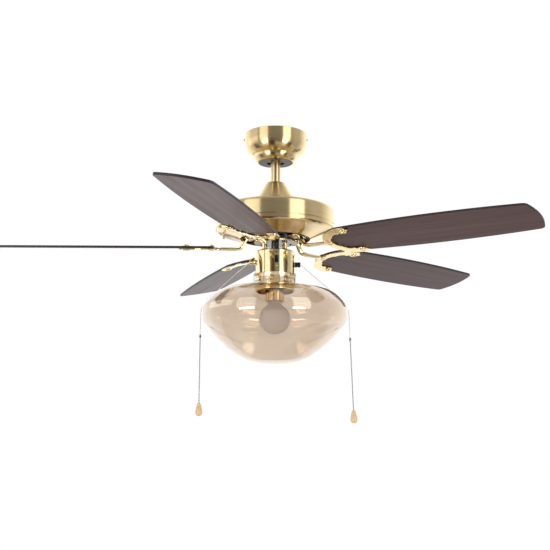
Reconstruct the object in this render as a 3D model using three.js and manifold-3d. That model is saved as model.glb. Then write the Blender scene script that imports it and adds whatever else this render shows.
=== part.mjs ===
// Five-blade ceiling fan with a glass light bowl and two pull cords. Millimetres, +Z up.
// The origin is the middle of the bracket's ceiling face, so the whole fan hangs below z = 0.
import * as THREE from "three";
import { mergeVertices } from "three/addons/utils/BufferGeometryUtils.js";
import Module from "manifold-3d";

const wasm = await Module();
wasm.setup();

// ---------- Driving dimensions ----------
const GAP = 0.3; // clearance between pieces that touch
const FINE = 24; // sides of the large round shells
const COARSE = 16; // sides of small round pieces

// Hanger: bracket, ball and canopy
const BRACKET_LENGTH = 128;
const BRACKET_WIDTH = 38;
const BRACKET_THICK = 2.5;
const BALL_RADIUS = 24;
const BALL_Z = -36;
const BALL_TOP_FLAT = 18; // height of the ball's flat top above its centre
const CUP_WALL = 2.5;
const CUP_HOLE_RADIUS = 17;
const CUP_RIM_DROP = 5; // the cup's rim below the ball's centre
const ARM_WIDTH = 22;
const ARM_WALL = 3;
const KEY_RADIUS = 1.5; // pins in the arms that keep the ball from spinning
const KEY_REACH = 3;
const BALL_GROOVE_REACH = 14; // how far its key grooves run above and below its centre
const CEILING_SLOT_X = 44;
const CEILING_SLOT_LENGTH = 12;
const CEILING_SLOT_WIDTH = 5;
const CANOPY_RADIUS = 77.2;
const CANOPY_HEIGHT = 71.5;
const CANOPY_WALL_HEIGHT = 23;
const CANOPY_STEP_RADIUS = 58.3;
const CANOPY_MOUTH_RADIUS = 42.5;
const CANOPY_SHEET = 1.2;
const CANOPY_SCREW_RADIUS = 2;
const CANOPY_SCREW_HEAD_RADIUS = 3.6;
const CANOPY_SCREW_HEAD_THICK = 1.8;
const CANOPY_SCREW_Z = -12;
const RING_HOLE_RADIUS = 22;
const RING_THICK = 2.6;

// Down rod and its couplings
const ROD_RADIUS = 12.2;
const ROD_WALL = 1.8;
const ROD_TOP = -17;
const ROD_BOTTOM = -168;
const PIN_RADIUS = 3;
const BALL_PIN_LENGTH = 36;
const BALL_PIN_Z = -26;
const YOKE_TOP = -150;
const YOKE_RADIUS = 17.5;
const YOKE_FLANGE_RADIUS = 46;
const YOKE_FLANGE_THICK = 5;
const YOKE_PIN_REACH = 3; // how far the pin stands out of the yoke on each side
const YOKE_PIN_Z = -160;
const COVER_TOP = -124.4;
const COVER_TOP_RADIUS = 24.4;
const COVER_MIDDLE_RADIUS = 44.8;
const COVER_FOOT_RADIUS = 58;
const COVER_SHEET = 1.2;

// Motor housing
const DRUM_TOP = -184;
const DRUM_BOTTOM = -243;
const DRUM_RADIUS = 144.8;
const DRUM_HOLE_RADIUS = 30;
const DRUM_SHEET = 1.2;
const GROOVE_HEIGHT = 9; // the groove above the drum's lower edge
const GROOVE_DEPTH = 1.2;
const FUNNEL_RADIUS = 85.6;
const FUNNEL_HEIGHT = 22;

// Motor
const SHAFT_RADIUS = 8;
const SHAFT_BORE_RADIUS = 5.5;
const ROTOR_RADIUS = 79;
const ROTOR_WALL = 4;
const ROTOR_TOP = -206;
const ROTOR_BOTTOM = -259;
const BEARING_RADIUS = 16;
const BEARING_WIDTH = 8;
const CORE_HEIGHT = 22;
const CORE_Z = -232;
const CORE_RADIUS = 60;
const CORE_POLES = 12;
const AIR_GAP = 1.8;
const WINDING_INNER = 28;
const WINDING_OUTER = 52;
const WINDING_HEIGHT = 9;

// Blades and their irons
const BLADES = 5;
const FIRST_BLADE_DEGREES = 38.6;
const BLADE_PITCH_DEGREES = 12;
const BLADE_DROOP_DEGREES = 0.6;
const BLADE_TIP_RADIUS = 660;
const BLADE_THICK = 5.5;
const BLADE_TIP_WIDTH = 122;
const BLADE_SIDE_BULGE = 9;
const BLADE_TIP_BULGE = 9;
const BLADE_CORNER_RADIUS = 11;
const CRESCENT_CENTRE = 210; // distance of the crescent's centre from the fan's axis
const CRESCENT_Z = -292; // middle of the crescent plate at the fan's axis side
const CRESCENT_OUTER_RADIUS = 66.5;
const CRESCENT_INNER_RADIUS = 45;
const CRESCENT_THICK = 3;
const CRESCENT_ARM_DEGREES = 99; // each arm's outer corner, measured from the inward direction
const ARM_POINT_REACH = 8; // how far an arm's point runs on past its outer corner
const MIDDLE_BOSS_DISTANCE = 55.5; // from the crescent's centre
const ARM_BOSS_DISTANCE = 50.5;
const ARM_BOSS_DEGREES = 95;
const BOSS_RADIUS = 8.3;
const BOSS_DROP = 2;
const STEM_WIDTH = 14;
const STEM_THICK = 8;
const FOOT_INNER_RADIUS = 46;
const FOOT_OUTER_RADIUS = 74;
const FOOT_DEGREES = 44;
const FOOT_THICK = 5;

// Plate and posts under the motor, switch housing
const PLATE_TOP = -272;
const PLATE_RADIUS = 51;
const PLATE_THICK = 3;
const POST_RADIUS = 7;
const POST_CIRCLE_RADIUS = 28;
const FIRST_POST_DEGREES = 205;
const LEAD_RADIUS = 2.9;
const LEAD_SPACING = 5.2;
const LEAD_Y = -31;
const HOUSING_TOP = -296;
const HOUSING_BOTTOM = -361;
const HOUSING_RADIUS = 47.4;
const HOUSING_SHEET = 1.3;
const HOUSING_ROUND = 3.5;
const SLOT_X = 3.5;
const SLOT_WIDTH = 8.7;
const SLOT_TOP = -313;
const SLOT_HEIGHT = 18;
const SLIDER_HEIGHT = 9;
const SLIDER_PROUD = 1.2;
const SLIDER_DEPTH = 5; // behind the housing's wall
const REVERSE_SWITCH_WIDTH = 16;
const REVERSE_SWITCH_DEPTH = 9;
const REVERSE_SWITCH_MARGIN = 3; // above and below the slot
const SMALL_HOLE_RADIUS = 1.4;
const SMALL_HOLE_RISE = 8; // above the slot's top
const SPEED_FERRULE_Z = -321.5;
const SPEED_FERRULE_RADIUS = 7.4;
const LIGHT_FERRULE_Z = -327.6;
const LIGHT_FERRULE_RADIUS = 6;
const LIGHT_NUT_THICK = 5;
const FERRULE_REACH = 61.5; // how far each ferrule's mouth is from the axis
const FERRULE_BORE_RADIUS = 2;
const SWITCH_WALL_GAP = 3; // from the pull switches to the housing's wall
const SPEED_SWITCH_LENGTH = 18;
const SPEED_SWITCH_RADIUS = 11;
const LIGHT_SWITCH_LENGTH = 20;
const LIGHT_SWITCH_RADIUS = 8.5;
const CAPACITOR_SIDE_GAP = 6.1; // from its sides to the light switch's inner end
const CAPACITOR_DEPTH = 18;
const CAPACITOR_HEIGHT = 32;
const CAPACITOR_DROP = 8; // below the housing's top
const CAPACITOR_CORNER_GAP = 8.1; // from its back corners to the housing's wall

// Fitter, lamp and glass
const FITTER_BOTTOM = -391;
const FITTER_SHEET = 1.6;
const FITTER_COLLAR_HEIGHT = 11; // the fitter's collar inside the switch housing
const PAN_DROP = 5; // the fitter's pan below the switch housing
const PAN_THICK = 2;
const ROPE_HEIGHT = 20;
const ROPE_PROUD = 1.6;
const SOCKET_RADIUS = 22.6;
const SOCKET_BOTTOM = -418;
const SOCKET_SHEET = 1;
const LINER_WALL = 5;
const WIRE_HOLE_RADIUS = 6;
const BULB_BASE_RADIUS = 13;
const BULB_BASE_LENGTH = 24; // from the socket's mouth up
const BULB_NECK_RADIUS = 15;
const BULB_RADIUS = 37;
const BULB_Z = -460;
const GLASS_WALL = 2.2;
const GLASS_TOP = -353;
const GLASS_BOTTOM = -570;
const GLASS_RADIUS = 175.7;
const GLASS_WIDEST_Z = -444;
const GLASS_SCREW_REACH = 3; // how far a screw reaches inside the fitter's collar
const GLASS_SCREW_Z = -357;
const GLASS_SCREW_RADIUS = 1.8;
const GLASS_SCREW_HEAD_RADIUS = 3.4;
const GLASS_SCREW_HEAD_THICK = 4;
const FIRST_GLASS_SCREW_DEGREES = 88;

// Pull cords: each route runs from a ferrule's mouth over the bowl's shoulder to the bead chain
const STRING_RADIUS = 0.9;
const CHAIN_RADIUS = 1.6;
const FOB_RADIUS = 8.6;
const FOB_LENGTH = 30;
const SPEED_STRING = [
  [-62.3, 0, -322],
  [-90, 0, -347],
  [-120, 0, -374.6],
  [-141, 0, -394.6],
  [-153, 0, -405.6],
  [-164, 0, -416.6],
  [-172.4, 0, -428],
  [-177.4, 0, -444],
  [-178, 0, -462],
  [-178, 0, -499],
];
const LIGHT_STRING = [
  [62.8, 0, -328],
  [90, 0, -352.4],
  [120, 0, -378.4],
  [141, 0, -396],
  [153, 0, -405.6],
  [164, 0, -416.6],
  [172.4, 0, -428],
  [177.4, 0, -444],
  [178.6, 0, -462],
  [180.2, 0, -505],
];
const SPEED_CHAIN_END = [-178, 0, -662];
const LIGHT_CHAIN_END = [186.8, 0, -677];

// ---------- Materials ----------
function material(color, roughness, metalness, opacity = 1) {
  return new THREE.MeshStandardMaterial({ color, roughness, metalness, opacity, transparent: opacity < 1 });
}
const satinBrass = material("#b99c62", 0.34, 1);
const polishedBrass = material("#d3b36c", 0.14, 1);
const zincSteel = material("#b4b7ba", 0.4, 1);
const castAluminium = material("#8e9092", 0.5, 1);
const coreSteel = material("#55585c", 0.5, 1);
const copperEnamel = material("#9a4a24", 0.35, 0.8);
const blackPlastic = material("#17171a", 0.5, 0);
const greyPlastic = material("#6f7276", 0.55, 0);
const darkWood = material("#4c2f2c", 0.42, 0);
const whitePorcelain = material("#ece8df", 0.3, 0);
const amberGlass = material("#e0cdb0", 0.05, 0, 0.35);
const pearlGlass = material("#f2efe9", 0.3, 0, 0.9);
const whiteCotton = material("#f4f2ee", 0.8, 0);
const chainSteel = material("#a9abad", 0.25, 1);
const mapleWood = material("#e0b983", 0.5, 0);

// ---------- Shape helpers ----------
// A closed geometry as a solid, without the flat triangles that a lathe leaves on its axis.
function solid(geometry) {
  const bare = geometry.index ? geometry.toNonIndexed() : geometry.clone();
  bare.deleteAttribute("normal");
  bare.deleteAttribute("uv");
  const merged = mergeVertices(bare, 1e-3);
  const kept = [];
  const index = merged.index.array;
  for (let i = 0; i < index.length; i += 3) {
    const [a, b, c] = [index[i], index[i + 1], index[i + 2]];
    if (a !== b && b !== c && c !== a) kept.push(a, b, c);
  }
  return new wasm.Manifold(
    new wasm.Mesh({
      numProp: 3,
      vertProperties: merged.attributes.position.array,
      triVerts: new Uint32Array(kept),
    }),
  );
}

function geometryOf(body) {
  const mesh = body.getMesh();
  const geometry = new THREE.BufferGeometry();
  geometry.setAttribute("position", new THREE.BufferAttribute(mesh.vertProperties, 3));
  geometry.setIndex(new THREE.BufferAttribute(mesh.triVerts, 1));
  geometry.computeVertexNormals();
  return geometry;
}

function joined(bodies) {
  return bodies.reduce((whole, body) => whole.add(body));
}

function cut(body, holes) {
  return holes.reduce((rest, hole) => rest.subtract(hole), body);
}

// A body of revolution about Z from [radius, height] points, given in either sense.
// The profile is an outline that closes on itself, or one that starts and ends on the axis.
function turned(points, sides = COARSE) {
  let area = 0;
  points.forEach(([r, z], i) => {
    const [r2, z2] = points[(i + 1) % points.length];
    area += r * z2 - r2 * z;
  });
  const ordered = area > 0 ? [...points] : [...points].reverse();
  const onAxis = points[0][0] === 0 && points.at(-1)[0] === 0;
  if (!onAxis) ordered.push(ordered[0]);
  const profile = ordered.map(([r, z]) => new THREE.Vector2(r, z));
  return solid(new THREE.LatheGeometry(profile, sides).rotateX(Math.PI / 2));
}

function ring(inner, outer, low, high, sides = COARSE) {
  return turned([[inner, low], [outer, low], [outer, high], [inner, high]], sides);
}

// Points moved sideways by distance, to the left of the way they run.
function offset(points, distance) {
  return points.map((point, i) => {
    const before = points[Math.max(i - 1, 0)];
    const after = points[Math.min(i + 1, points.length - 1)];
    const a = new THREE.Vector2(point[0] - before[0], point[1] - before[1]).normalize();
    const b = new THREE.Vector2(after[0] - point[0], after[1] - point[1]).normalize();
    const along = a.clone().add(b).normalize();
    const stretch = distance / Math.max(0.5, along.dot(a.length() ? a : b));
    return [point[0] - along.y * stretch, point[1] + along.x * stretch];
  });
}

// Cuts an inner line's end square with the outer line's end: level on a steep wall, upright on a flat one.
function squareEnd(inner, outer, end, neighbour) {
  const steep = Math.abs(outer.at(end)[1] - outer.at(neighbour)[1]) > Math.abs(outer.at(end)[0] - outer.at(neighbour)[0]);
  const axis = steep ? 1 : 0;
  inner.at(end)[axis] = outer.at(end)[axis];
}

// A sheet of revolution whose wall lies to the right of its outer line.
function shell(outer, wall, sides = FINE, lined = outer) {
  const inner = offset(lined, -wall);
  squareEnd(inner, outer, 0, 1);
  squareEnd(inner, outer, -1, -2);
  return turned([...outer, ...inner.reverse()], sides);
}

function rod(radius, length, sides = COARSE) {
  return new THREE.CylinderGeometry(radius, radius, length, sides).rotateX(Math.PI / 2);
}

function barX(radius, from, to, z, sides = COARSE) {
  const length = Math.abs(to - from);
  return solid(rod(radius, length, sides).rotateY(Math.PI / 2).translate((from + to) / 2, 0, z));
}

function barY(radius, from, to, x, z, sides = COARSE) {
  const length = Math.abs(to - from);
  return solid(rod(radius, length, sides).rotateX(Math.PI / 2).translate(x, (from + to) / 2, z));
}

function barZ(radius, from, to, x, y, sides = COARSE) {
  const length = Math.abs(to - from);
  return solid(rod(radius, length, sides).translate(x, y, (from + to) / 2));
}

function block(x0, x1, y0, y1, z0, z1) {
  const box = new THREE.BoxGeometry(x1 - x0, y1 - y0, z1 - z0);
  return solid(box.translate((x0 + x1) / 2, (y0 + y1) / 2, (z0 + z1) / 2));
}

// A flat plate from an outline, its lower face at z.
function plate(outline, thick, z, curveSegments = 8) {
  const options = { depth: thick, bevelEnabled: false, curveSegments };
  return new THREE.ExtrudeGeometry(outline, options).translate(0, 0, z);
}

function tube(points, radius, sides, steps) {
  const outline = new THREE.Shape();
  outline.absarc(0, 0, radius, 0, Math.PI * 2);
  const path = new THREE.CatmullRomCurve3(points.map((p) => new THREE.Vector3(...p)), false, "centripetal");
  // An arc is drawn with twice as many sides as its curve segments.
  const options = { steps, extrudePath: path, curveSegments: sides / 2, bevelEnabled: false };
  return solid(new THREE.ExtrudeGeometry(outline, options));
}

const radians = THREE.MathUtils.degToRad;

// ---------- The model ----------
const fan = new THREE.Group();

function add(name, body, look, parent = fan) {
  const mesh = new THREE.Mesh(geometryOf(body), look);
  mesh.name = name;
  parent.add(mesh);
  return mesh;
}

// ---------- Hanger ----------
const cupInner = BALL_RADIUS + GAP;
const cupOuter = cupInner + CUP_WALL;
const armInner = cupOuter - 0.8; // the arms bite a little into the cup
const legInner = BRACKET_LENGTH / 2 - BRACKET_THICK;

function cupProfile() {
  const points = [];
  const steps = 5;
  const rimAngle = Math.asin(CUP_RIM_DROP / cupInner);
  const holeAngle = Math.acos(CUP_HOLE_RADIUS / cupOuter);
  for (const [radius, sign] of [[cupInner, 1], [cupOuter, -1]]) {
    for (let i = 0; i <= steps; i += 1) {
      const share = sign > 0 ? i / steps : 1 - i / steps;
      const angle = rimAngle + (holeAngle - rimAngle) * share;
      points.push([radius * Math.cos(angle), BALL_Z - radius * Math.sin(angle)]);
    }
  }
  return points;
}

function hangerBracket() {
  const halfLength = BRACKET_LENGTH / 2;
  const halfWidth = BRACKET_WIDTH / 2;
  const pieces = [block(-halfLength, halfLength, -halfWidth, halfWidth, -BRACKET_THICK, 0), turned(cupProfile(), FINE)];
  const holes = [];
  const legBottom = CANOPY_SCREW_Z - 3 * CANOPY_SCREW_RADIUS;
  for (const side of [-1, 1]) {
    const leg = [side * legInner, side * halfLength].sort((a, b) => a - b);
    const arm = [side * armInner, side * (armInner + ARM_WALL)].sort((a, b) => a - b);
    const slot = [side * CEILING_SLOT_X, side * (CEILING_SLOT_X + CEILING_SLOT_LENGTH)].sort((a, b) => a - b);
    pieces.push(block(...leg, -ARM_WIDTH / 2, ARM_WIDTH / 2, legBottom, -BRACKET_THICK / 2));
    pieces.push(block(...arm, -ARM_WIDTH / 2, ARM_WIDTH / 2, BALL_Z - CUP_RIM_DROP * 2, -BRACKET_THICK / 2));
    pieces.push(barX(KEY_RADIUS, side * (cupInner + CUP_WALL), side * (cupInner - KEY_REACH), BALL_Z, 12));
    holes.push(barX(CANOPY_SCREW_RADIUS + GAP, side * (legInner - 1), side * (halfLength + 1), CANOPY_SCREW_Z, 12));
    holes.push(block(...slot, -CEILING_SLOT_WIDTH / 2, CEILING_SLOT_WIDTH / 2, -BRACKET_THICK - 1, 1));
  }
  return cut(joined(pieces), holes);
}

function hangerBall() {
  const ball = solid(new THREE.SphereGeometry(BALL_RADIUS, FINE, 18).rotateX(Math.PI / 2).translate(0, 0, BALL_Z));
  const reach = BALL_RADIUS + 1;
  const pinSlot = PIN_RADIUS + GAP;
  const grooveHalf = KEY_RADIUS + GAP;
  const grooveFloor = cupInner - KEY_REACH - 1;
  return cut(ball, [
    barZ(ROD_RADIUS + GAP, BALL_Z - reach, BALL_Z + reach, 0, 0, FINE),
    block(-reach, reach, -reach, reach, BALL_Z + BALL_TOP_FLAT, BALL_Z + reach),
    block(-pinSlot, pinSlot, -reach, reach, BALL_PIN_Z - pinSlot, BALL_Z + reach),
    block(-reach, -grooveFloor, -grooveHalf, grooveHalf, BALL_Z - BALL_GROOVE_REACH, BALL_Z + BALL_GROOVE_REACH),
    block(grooveFloor, reach, -grooveHalf, grooveHalf, BALL_Z - BALL_GROOVE_REACH, BALL_Z + BALL_GROOVE_REACH),
  ]);
}

// The canopy's outer line from its rim at the ceiling down to its mouth.
const canopyLine = [
  [CANOPY_RADIUS, -0.6],
  [CANOPY_RADIUS - 0.3, -CANOPY_WALL_HEIGHT],
  [CANOPY_RADIUS - 1.7, -CANOPY_WALL_HEIGHT - 8],
  [CANOPY_RADIUS - 5.2, -CANOPY_WALL_HEIGHT - 17],
  [CANOPY_RADIUS - 11, -CANOPY_WALL_HEIGHT - 24.5],
  [CANOPY_STEP_RADIUS, -CANOPY_HEIGHT + 18.5],
  [CANOPY_STEP_RADIUS - 3.6, -CANOPY_HEIGHT + 18],
  [CANOPY_STEP_RADIUS - 3.4, -CANOPY_HEIGHT + 15],
  [CANOPY_STEP_RADIUS - 8.3, -CANOPY_HEIGHT + 5.3],
  [CANOPY_MOUTH_RADIUS + 3.6, -CANOPY_HEIGHT + 0.5],
  [CANOPY_MOUTH_RADIUS, -CANOPY_HEIGHT],
];

function canopy() {
  const hole = CANOPY_SCREW_RADIUS + GAP;
  return cut(shell(canopyLine, CANOPY_SHEET), [
    barX(hole, -CANOPY_RADIUS - 2, -CANOPY_RADIUS + 4, CANOPY_SCREW_Z, 12),
    barX(hole, CANOPY_RADIUS - 4, CANOPY_RADIUS + 2, CANOPY_SCREW_Z, 12),
  ]);
}

function canopyRing() {
  const low = -CANOPY_HEIGHT;
  const lip = low + CANOPY_SHEET + GAP + 0.4;
  const high = low + CANOPY_SHEET + GAP + RING_THICK;
  const inside = CANOPY_MOUTH_RADIUS - 1;
  return turned([
    [RING_HOLE_RADIUS, low],
    [inside, low],
    [inside, lip],
    [CANOPY_MOUTH_RADIUS + 2, lip],
    [CANOPY_MOUTH_RADIUS + 2, high],
    [RING_HOLE_RADIUS, high],
  ], FINE);
}

function canopyScrew(side) {
  const headInner = CANOPY_RADIUS + GAP;
  const shank = barX(CANOPY_SCREW_RADIUS, side * (legInner - 4), side * (headInner + 0.5), CANOPY_SCREW_Z, 12);
  return shank.add(barX(CANOPY_SCREW_HEAD_RADIUS, side * headInner, side * (headInner + CANOPY_SCREW_HEAD_THICK), CANOPY_SCREW_Z, 16));
}

add("hanger_bracket", hangerBracket(), zincSteel);
add("hanger_ball", hangerBall(), greyPlastic);
add("canopy", canopy(), satinBrass);
add("canopy_ring", canopyRing(), blackPlastic);
add("canopy_screw_left", canopyScrew(-1), polishedBrass);
add("canopy_screw_right", canopyScrew(1), polishedBrass);

// ---------- Down rod, yoke and yoke cover ----------
const rodBore = ROD_RADIUS - ROD_WALL;
const yokeBottom = DRUM_TOP + GAP;
const yokeFloor = ROD_BOTTOM - 1;

function downRod() {
  return cut(ring(rodBore, ROD_RADIUS, ROD_BOTTOM, ROD_TOP, FINE), [
    barY(PIN_RADIUS + GAP, -ROD_RADIUS - 1, ROD_RADIUS + 1, 0, BALL_PIN_Z, 14),
    barX(PIN_RADIUS + GAP, -ROD_RADIUS - 1, ROD_RADIUS + 1, YOKE_PIN_Z, 14),
  ]);
}

function motorYoke() {
  const body = turned([
    [SHAFT_RADIUS + GAP, yokeBottom],
    [YOKE_FLANGE_RADIUS, yokeBottom],
    [YOKE_FLANGE_RADIUS, yokeBottom + YOKE_FLANGE_THICK],
    [YOKE_RADIUS, yokeBottom + YOKE_FLANGE_THICK + 3],
    [YOKE_RADIUS, YOKE_TOP],
    [ROD_RADIUS + GAP, YOKE_TOP],
    [ROD_RADIUS + GAP, yokeFloor],
    [SHAFT_RADIUS + GAP, yokeFloor],
  ]);
  return cut(body, [barX(PIN_RADIUS + GAP, -YOKE_RADIUS - 1, YOKE_RADIUS + 1, YOKE_PIN_Z, 14)]);
}

const coverLine = [
  [ROD_RADIUS + 0.8, COVER_TOP],
  [COVER_TOP_RADIUS, COVER_TOP],
  [COVER_TOP_RADIUS + 1.4, COVER_TOP - 4],
  [COVER_MIDDLE_RADIUS, COVER_TOP - 36.9],
  [COVER_FOOT_RADIUS, DRUM_TOP + GAP],
];

add("downrod", downRod(), satinBrass);
add("ball_pin", barY(PIN_RADIUS, -BALL_PIN_LENGTH / 2, BALL_PIN_LENGTH / 2, 0, BALL_PIN_Z, 14), zincSteel);
add("motor_yoke", motorYoke(), castAluminium);
add("yoke_pin", barX(PIN_RADIUS, -YOKE_RADIUS - YOKE_PIN_REACH, YOKE_RADIUS + YOKE_PIN_REACH, YOKE_PIN_Z, 14), zincSteel);
add("yoke_cover", shell(coverLine, COVER_SHEET), satinBrass);

// ---------- Motor housing ----------
function drumLine(groove) {
  const low = DRUM_BOTTOM + GROOVE_HEIGHT;
  const dip = groove ? GROOVE_DEPTH : 0;
  return [
    [DRUM_HOLE_RADIUS, DRUM_TOP],
    [COVER_FOOT_RADIUS + 2, DRUM_TOP],
    [DRUM_RADIUS - 12, DRUM_TOP - 6.5],
    [DRUM_RADIUS - 4, DRUM_TOP - 9.5],
    [DRUM_RADIUS, DRUM_TOP - 16],
    [DRUM_RADIUS, low + 1.4],
    ...(groove ? [[DRUM_RADIUS - dip, low]] : []),
    [DRUM_RADIUS, low - 1.4],
    [DRUM_RADIUS, DRUM_BOTTOM],
  ];
}

const funnelTop = DRUM_BOTTOM - GAP;
const funnelLine = [
  [DRUM_RADIUS - 1.6, funnelTop],
  [DRUM_RADIUS - 3.8, funnelTop - 3.4],
  [DRUM_RADIUS - 32, funnelTop - 11],
  [FUNNEL_RADIUS + 4, funnelTop - FUNNEL_HEIGHT + 2.4],
  [FUNNEL_RADIUS, funnelTop - FUNNEL_HEIGHT],
];

add("housing_drum", shell(drumLine(true), DRUM_SHEET * 1.5, FINE, drumLine(false)), satinBrass);
add("housing_funnel", shell(funnelLine, DRUM_SHEET), satinBrass);

// ---------- Motor ----------
const plateBottom = PLATE_TOP - PLATE_THICK;

function statorCore() {
  const outline = new THREE.Shape();
  const pitch = (Math.PI * 2) / CORE_POLES;
  const throat = CORE_RADIUS - 8;
  for (let i = 0; i < CORE_POLES; i += 1) {
    const at = i * pitch;
    const stops = [[throat, -0.44], [CORE_RADIUS, -0.4], [CORE_RADIUS, 0], [CORE_RADIUS, 0.4], [throat, 0.44]];
    for (const [radius, share] of stops) {
      const angle = at + share * pitch;
      const point = [radius * Math.cos(angle), radius * Math.sin(angle)];
      if (i === 0 && share === -0.44) outline.moveTo(...point);
      else outline.lineTo(...point);
    }
  }
  const core = solid(plate(outline, CORE_HEIGHT, CORE_Z - CORE_HEIGHT / 2));
  return core.subtract(barZ(SHAFT_RADIUS + GAP, CORE_Z - CORE_HEIGHT, CORE_Z + CORE_HEIGHT, 0, 0));
}

function winding(side) {
  const near = CORE_Z + side * (CORE_HEIGHT / 2 + GAP);
  const far = near + side * WINDING_HEIGHT;
  const round = 3;
  return turned([
    [WINDING_INNER, near],
    [WINDING_OUTER, near],
    [WINDING_OUTER, far - side * round],
    [WINDING_OUTER - round, far],
    [WINDING_INNER + round, far],
    [WINDING_INNER, far - side * round],
  ]);
}

const rotorSplit = CORE_Z;
const bearingSeat = BEARING_RADIUS + GAP;

function rotorCaseTop() {
  return turned([
    [SHAFT_RADIUS + 3, ROTOR_TOP],
    [ROTOR_RADIUS - 6, ROTOR_TOP],
    [ROTOR_RADIUS, ROTOR_TOP - 6],
    [ROTOR_RADIUS, rotorSplit + GAP / 2],
    [ROTOR_RADIUS - ROTOR_WALL, rotorSplit + GAP / 2],
    [ROTOR_RADIUS - ROTOR_WALL, ROTOR_TOP - ROTOR_WALL],
    [bearingSeat + ROTOR_WALL, ROTOR_TOP - ROTOR_WALL],
    [bearingSeat + ROTOR_WALL, ROTOR_TOP - 2 - BEARING_WIDTH],
    [bearingSeat, ROTOR_TOP - 2 - BEARING_WIDTH],
    [bearingSeat, ROTOR_TOP - 2],
    [SHAFT_RADIUS + 3, ROTOR_TOP - 2],
  ]);
}

function rotorCaseBottom() {
  return turned([
    [SHAFT_RADIUS + 3, ROTOR_BOTTOM],
    [ROTOR_RADIUS - 5, ROTOR_BOTTOM],
    [ROTOR_RADIUS, ROTOR_BOTTOM + 4],
    [ROTOR_RADIUS, rotorSplit - GAP / 2],
    [ROTOR_RADIUS - ROTOR_WALL, rotorSplit - GAP / 2],
    [ROTOR_RADIUS - ROTOR_WALL, ROTOR_BOTTOM + ROTOR_WALL],
    [bearingSeat + ROTOR_WALL, ROTOR_BOTTOM + ROTOR_WALL],
    [bearingSeat + ROTOR_WALL, ROTOR_BOTTOM + 2 + BEARING_WIDTH],
    [bearingSeat, ROTOR_BOTTOM + 2 + BEARING_WIDTH],
    [bearingSeat, ROTOR_BOTTOM + 2],
    [SHAFT_RADIUS + 3, ROTOR_BOTTOM + 2],
  ]);
}

function bearing(low) {
  return ring(SHAFT_RADIUS + GAP, BEARING_RADIUS, low, low + BEARING_WIDTH);
}

const rotorRingInner = CORE_RADIUS + AIR_GAP;
const rotorRingOuter = ROTOR_RADIUS - ROTOR_WALL - GAP;
const coreLow = CORE_Z - CORE_HEIGHT / 2;
const coreHigh = CORE_Z + CORE_HEIGHT / 2;

add("motor_shaft", ring(SHAFT_BORE_RADIUS, SHAFT_RADIUS, plateBottom, yokeFloor - 2), zincSteel);
add("stator_core", statorCore(), coreSteel);
add("winding_upper", winding(1), copperEnamel);
add("winding_lower", winding(-1), copperEnamel);
add("rotor_ring", ring(rotorRingInner, rotorRingOuter, coreLow, coreHigh), coreSteel);
add("rotor_case_top", rotorCaseTop(), castAluminium);
add("flywheel", rotorCaseBottom(), blackPlastic);
add("bearing_upper", bearing(ROTOR_TOP - 2 - BEARING_WIDTH), zincSteel);
add("bearing_lower", bearing(ROTOR_BOTTOM + 2), zincSteel);

// ---------- Blades and irons ----------
// Each blade has a frame of its own: X runs out along the blade, and the whole frame is pitched and drooped about
// the crescent's centre. Its z = 0 is the middle of the crescent plate.
const bladeFrame = new THREE.Matrix4().compose(
  new THREE.Vector3(CRESCENT_CENTRE, 0, CRESCENT_Z),
  new THREE.Quaternion().setFromEuler(
    new THREE.Euler(-radians(BLADE_PITCH_DEGREES), radians(BLADE_DROOP_DEGREES), 0, "YXZ"),
  ),
  new THREE.Vector3(1, 1, 1),
);
// A point of the crescent at a distance from its centre and an angle from the inward direction.
function onCrescent(distance, degrees) {
  return [-distance * Math.cos(radians(degrees)), distance * Math.sin(radians(degrees))];
}

// Where the three blade screws sit in the blade's frame.
const bossPlaces = [
  onCrescent(ARM_BOSS_DISTANCE, -ARM_BOSS_DEGREES),
  onCrescent(MIDDLE_BOSS_DISTANCE, 0),
  onCrescent(ARM_BOSS_DISTANCE, ARM_BOSS_DEGREES),
];

function crescentOutline() {
  const outline = new THREE.Shape();
  const corner = radians(CRESCENT_ARM_DEGREES);
  const inside = radians(ARM_BOSS_DEGREES);
  const [cornerX] = onCrescent(CRESCENT_OUTER_RADIUS, CRESCENT_ARM_DEGREES);
  const point = [cornerX + ARM_POINT_REACH, ARM_BOSS_DISTANCE + BOSS_RADIUS / 2];
  outline.absarc(0, 0, CRESCENT_OUTER_RADIUS, Math.PI - corner, Math.PI + corner, false);
  outline.lineTo(point[0], -point[1]);
  outline.absarc(0, 0, CRESCENT_INNER_RADIUS, Math.PI + inside, Math.PI - inside, true);
  outline.lineTo(...point);
  outline.closePath();
  return outline;
}

function iron() {
  const half = CRESCENT_THICK / 2;
  const flat = [solid(plate(crescentOutline(), CRESCENT_THICK, -half, 8).applyMatrix4(bladeFrame))];
  for (const [x, y] of bossPlaces) {
    const boss = rod(BOSS_RADIUS, CRESCENT_THICK + BOSS_DROP, 10).translate(x, y, -BOSS_DROP / 2);
    flat.push(solid(boss.applyMatrix4(bladeFrame)));
  }
  const foot = new THREE.Shape();
  const halfFoot = radians(FOOT_DEGREES / 2);
  foot.absarc(0, 0, FOOT_OUTER_RADIUS, -halfFoot, halfFoot, false);
  foot.absarc(0, 0, FOOT_INNER_RADIUS, halfFoot, -halfFoot, true);
  foot.closePath();
  const footTop = ROTOR_BOTTOM - GAP;
  return joined([...flat, solid(plate(foot, FOOT_THICK, footTop - FOOT_THICK, 3)), stem(footTop)]);
}

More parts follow.
